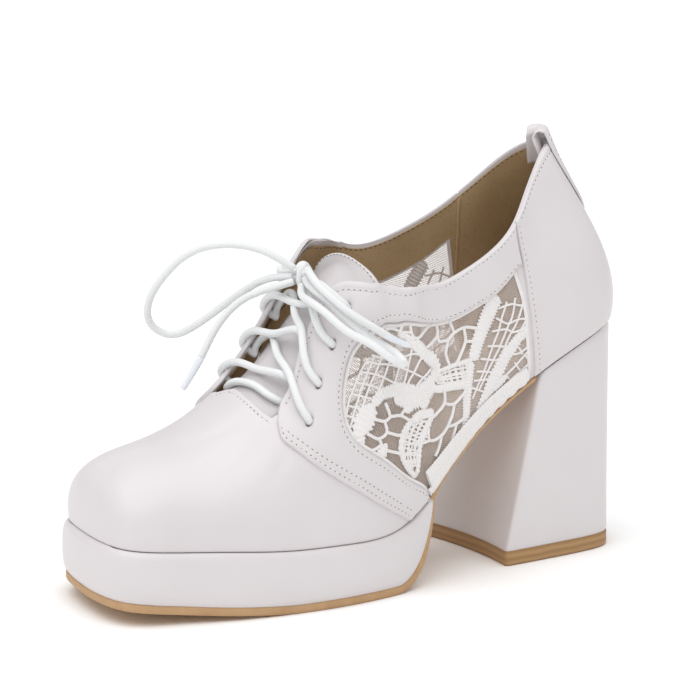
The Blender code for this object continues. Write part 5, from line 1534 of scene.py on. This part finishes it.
# Fine nylon tulle behind the embroidery: sheer, in a pale skin tone that tints what is seen through the holes
tulle_nude, tree, shader, spot = start_material("pale nylon tulle", Roughness=.6, Specular_IOR_Level=.3)
cloud = node(tree, "ShaderNodeTexNoise", {"Vector": spot, "Scale": per_metre(3), "Detail": 2.0})
shade = node(tree, "ShaderNodeMix", {"Factor": cloud.outputs[0], "A": linear("#D6C9C1"),
                                     "B": linear("#E4D9D2")}, data_type="RGBA")
tree.links.new(shade.outputs["Result"], shader.inputs["Base Color"])
TULLE_PITCH, TULLE_HALF = .62, .11
TULLE_STEP, TULLE_KEPT = .5, 3     # steps along a thread until it is cut off, and one in how many is kept
TULLE_LEVEL = LACE_LEVEL - .45
corner, far_corner = field.min(0) * SHEET, field.max(0) * SHEET
reach = far_corner - corner
ground = []
for lean in (1, -1):
    for shift_by in np.arange(-reach[1], reach[0] + reach[1], TULLE_PITCH * math.sqrt(2)):
        climb = np.arange(0, reach[1], TULLE_STEP)
        base = corner[0] + shift_by + (0 if lean > 0 else reach[1])
        line = np.stack([base + lean * climb, corner[1] + climb], 1) / SHEET
        for run in runs_inside(line, field):
            ends_on = len(run) % TULLE_KEPT == 1
            ground.append(run[::TULLE_KEPT] if ends_on else np.vstack([run[::TULLE_KEPT], run[-1:]]))
for side, name in SIDES:
    shape = joined([ribbon(line, half, rise, side) for line, half, rise in threads]
                   + [ribbon(line, half, rise, side, level=level) for line, half, rise, level in borders])
    lace = add_piece("lace_" + name, shape[:2], [lace_cotton], ["lace_panel_" + name],
                     crease=80)
    shape = joined([ribbon(line, TULLE_HALF, TULLE_HALF, side, 3, TULLE_LEVEL) for line in ground])
    tulle = add_piece("tulle_" + name, shape[:2], [tulle_nude])
print("faces on each side: lace", len(lace.data.polygons), "and tulle", len(tulle.data.polygons))

# %% [markdown]
# ## Stitches
# Seams are sewn with white thread, a stitch about every two millimetres, and the shade in each needle hole
# is painted as a small dark bead. Geometry Nodes turn a polyline into a curve, space it evenly and set a
# bead on each point, turned along the row and out from the leather. The same tree lays threads and painted
# shade.

# %% Node tree for a row of beads
rows_tree = bpy.data.node_groups.new("bead rows", "GeometryNodeTree")
rows_tree.interface.new_socket("Geometry", in_out="INPUT", socket_type="NodeSocketGeometry")
for label in ("Pitch", "Length", "Width", "Height", "Shift"):
    rows_tree.interface.new_socket(label, in_out="INPUT", socket_type="NodeSocketFloat")
rows_tree.interface.new_socket("Finish", in_out="INPUT", socket_type="NodeSocketMaterial")
rows_tree.interface.new_socket("Geometry", in_out="OUTPUT", socket_type="NodeSocketGeometry")
given = node(rows_tree, "NodeGroupInput").outputs
path = node(rows_tree, "GeometryNodeMeshToCurve", {"Mesh": given["Geometry"]})
even = node(rows_tree, "GeometryNodeResampleCurve", {"Curve": path.outputs[0], "Length": given["Pitch"]},
            mode="LENGTH")
along = node(rows_tree, "GeometryNodeInputTangent")
outward = node(rows_tree, "GeometryNodeInputNamedAttribute", {"Name": "outward"}, data_type="FLOAT_VECTOR")
turned = node(rows_tree, "FunctionNodeAlignRotationToVector", {"Vector": along.outputs[0]}, axis="X")
turned = node(rows_tree, "FunctionNodeAlignRotationToVector",
              {"Rotation": turned.outputs[0], "Vector": outward.outputs[0]}, axis="Z", pivot_axis="X")
ball = node(rows_tree, "GeometryNodeMeshUVSphere", {"Segments": 8, "Rings": 5, "Radius": .5})
size = node(rows_tree, "ShaderNodeCombineXYZ", {0: given["Length"], 1: given["Width"], 2: given["Height"]})
move = node(rows_tree, "ShaderNodeCombineXYZ", {0: given["Shift"]})
bead = node(rows_tree, "GeometryNodeTransform",
            {"Geometry": ball.outputs[0], "Translation": move.outputs[0], "Scale": size.outputs[0]})
beads = node(rows_tree, "GeometryNodeInstanceOnPoints",
             {"Points": even.outputs[0], "Instance": bead.outputs[0], "Rotation": turned.outputs[0]})
solid = node(rows_tree, "GeometryNodeRealizeInstances", {"Geometry": beads.outputs[0]})
painted = node(rows_tree, "GeometryNodeSetMaterial",
               {"Geometry": solid.outputs[0], "Material": given["Finish"]})
node(rows_tree, "NodeGroupOutput", {"Geometry": painted.outputs[0]})
print("tree:", len(rows_tree.nodes), "nodes")

# %% Sew the rows
# Spun polyester thread, slightly shiny: white for the seams, and dark brown for the row that shows on the
# lining, darker in part as painted shade inside the collar; and dark beads of painted shade in the needle
# holes
finishes = []
for name, roughness, size, dark, pale in (("spun polyester thread", .5, .4, "#CFCBCA", "#F0EEEC"),
                                          ("shaded needle hole", .9, .6, "#5E5856", "#8A8380"),
                                          ("brown polyester thread", .5, .4, "#54402A", "#6E5638")):
    made, tree, shader, spot = start_material(name, Roughness=roughness)
    ply = node(tree, "ShaderNodeTexNoise", {"Vector": spot, "Scale": per_metre(size)})
    shade = node(tree, "ShaderNodeMix", {"Factor": ply.outputs[0], "A": linear(dark), "B": linear(pale)},
                 data_type="RGBA")
    tree.links.new(shade.outputs["Result"], shader.inputs["Base Color"])
    finishes.append(made)
thread_white, painted_hole_shade, thread_brown_and_shade = finishes
PITCH = 2.2
LINED_ROW = TURNED + .6    # from the collar's edge to the row on the lining
RIM_START, RIM_END, RIM_IN = 60, 86, 3     # where the tongue's rim is sewn, in rows and columns of its grid
LOOP_SEWN, LOOP_COLUMNS = slice(6, 46), (4, 26)    # the same for the pull loop's two rows of stitches
SEWN = []                  # rows as points and outward directions
for rows, height in ((QUARTER_ROWS[1], OVERLAY), (QUARTER_ROWS[-1], OVERLAY), (COUNTER_ROWS, OVERLAY),
                     (VAMP_ROWS, 0)):
    for line in rows:
        u, v = line.T
        SEWN.append((offset(u, v, height - CHANNEL[0]), facing_out(u, v)))
LINED = []                 # the row that shows inside, on the lining
for side in (1, -1):
    u, v = (along_collar(side_lines(side)[0], LINED_ROW, LOOP_INNER + .15) * [side, 1]).T
    LINED.append((offset(u, v, -WALL), -facing_out(u, v)))
SEWN.append([np.concatenate([rows[RIM_START:RIM_END, RIM_IN], rows[RIM_END, RIM_IN:-RIM_IN],
                             rows[RIM_START:RIM_END + 1, -RIM_IN - 1][::-1]])
             for rows in (tongue_face, tongue_out)])
for column in LOOP_COLUMNS:
    out = loop_out[LOOP_SEWN, column]
    SEWN.append((loop_face[LOOP_SEWN, column] + out * TAPE / 2, out))


def sew(name, sewn, finish, sizes):
    """Beads along some rows, as one plain mesh piece."""
    points = np.concatenate([row[0] for row in sewn])
    turned = np.concatenate([row[1] for row in sewn]) * [1, -1, 1]
    edges, start = [], 0
    for row in sewn:
        edges += [(start + k, start + k + 1) for k in range(len(row[0]) - 1)]
        start += len(row[0])
    mesh = bpy.data.meshes.new(name)
    mesh.from_pydata(placed(points).tolist(), edges, [])
    mesh.attributes.new("outward", "FLOAT_VECTOR", "POINT").data.foreach_set("vector", turned.ravel())
    made = bpy.data.objects.new(name, mesh)
    bpy.context.collection.objects.link(made)
    modifier = made.modifiers.new("rows", "NODES")
    modifier.node_group = rows_tree
    for item in rows_tree.interface.items_tree:
        if item.in_out == "INPUT" and item.name in sizes:
            modifier[item.identifier] = sizes[item.name] * MM
        elif item.in_out == "INPUT" and item.name == "Finish":
            modifier[item.identifier] = finish
    ready = made.evaluated_get(bpy.context.evaluated_depsgraph_get())
    plain = bpy.data.meshes.new_from_object(ready)
    made.modifiers.clear()
    made.data = plain
    plain.shade_smooth()
    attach(made, "root")
    print(name, len(plain.polygons), "faces")


sew("stitches", SEWN, thread_white,
    {"Pitch": PITCH, "Length": 1.45, "Width": .5, "Height": .42, "Shift": 0.0})
# Dark beads half a pitch along each row: painted shade in the needle holes
sew("needle_hole_painted_shade", SEWN, painted_hole_shade,
    {"Pitch": PITCH, "Length": .8, "Width": .45, "Height": .24, "Shift": PITCH / 2})
# Dark brown thread on the lining; its darkness is partly painted shade inside the collar
sew("lining_stitches", LINED, thread_brown_and_shade,
    {"Pitch": PITCH, "Length": 1.5, "Width": .5, "Height": .4, "Shift": 0.0})
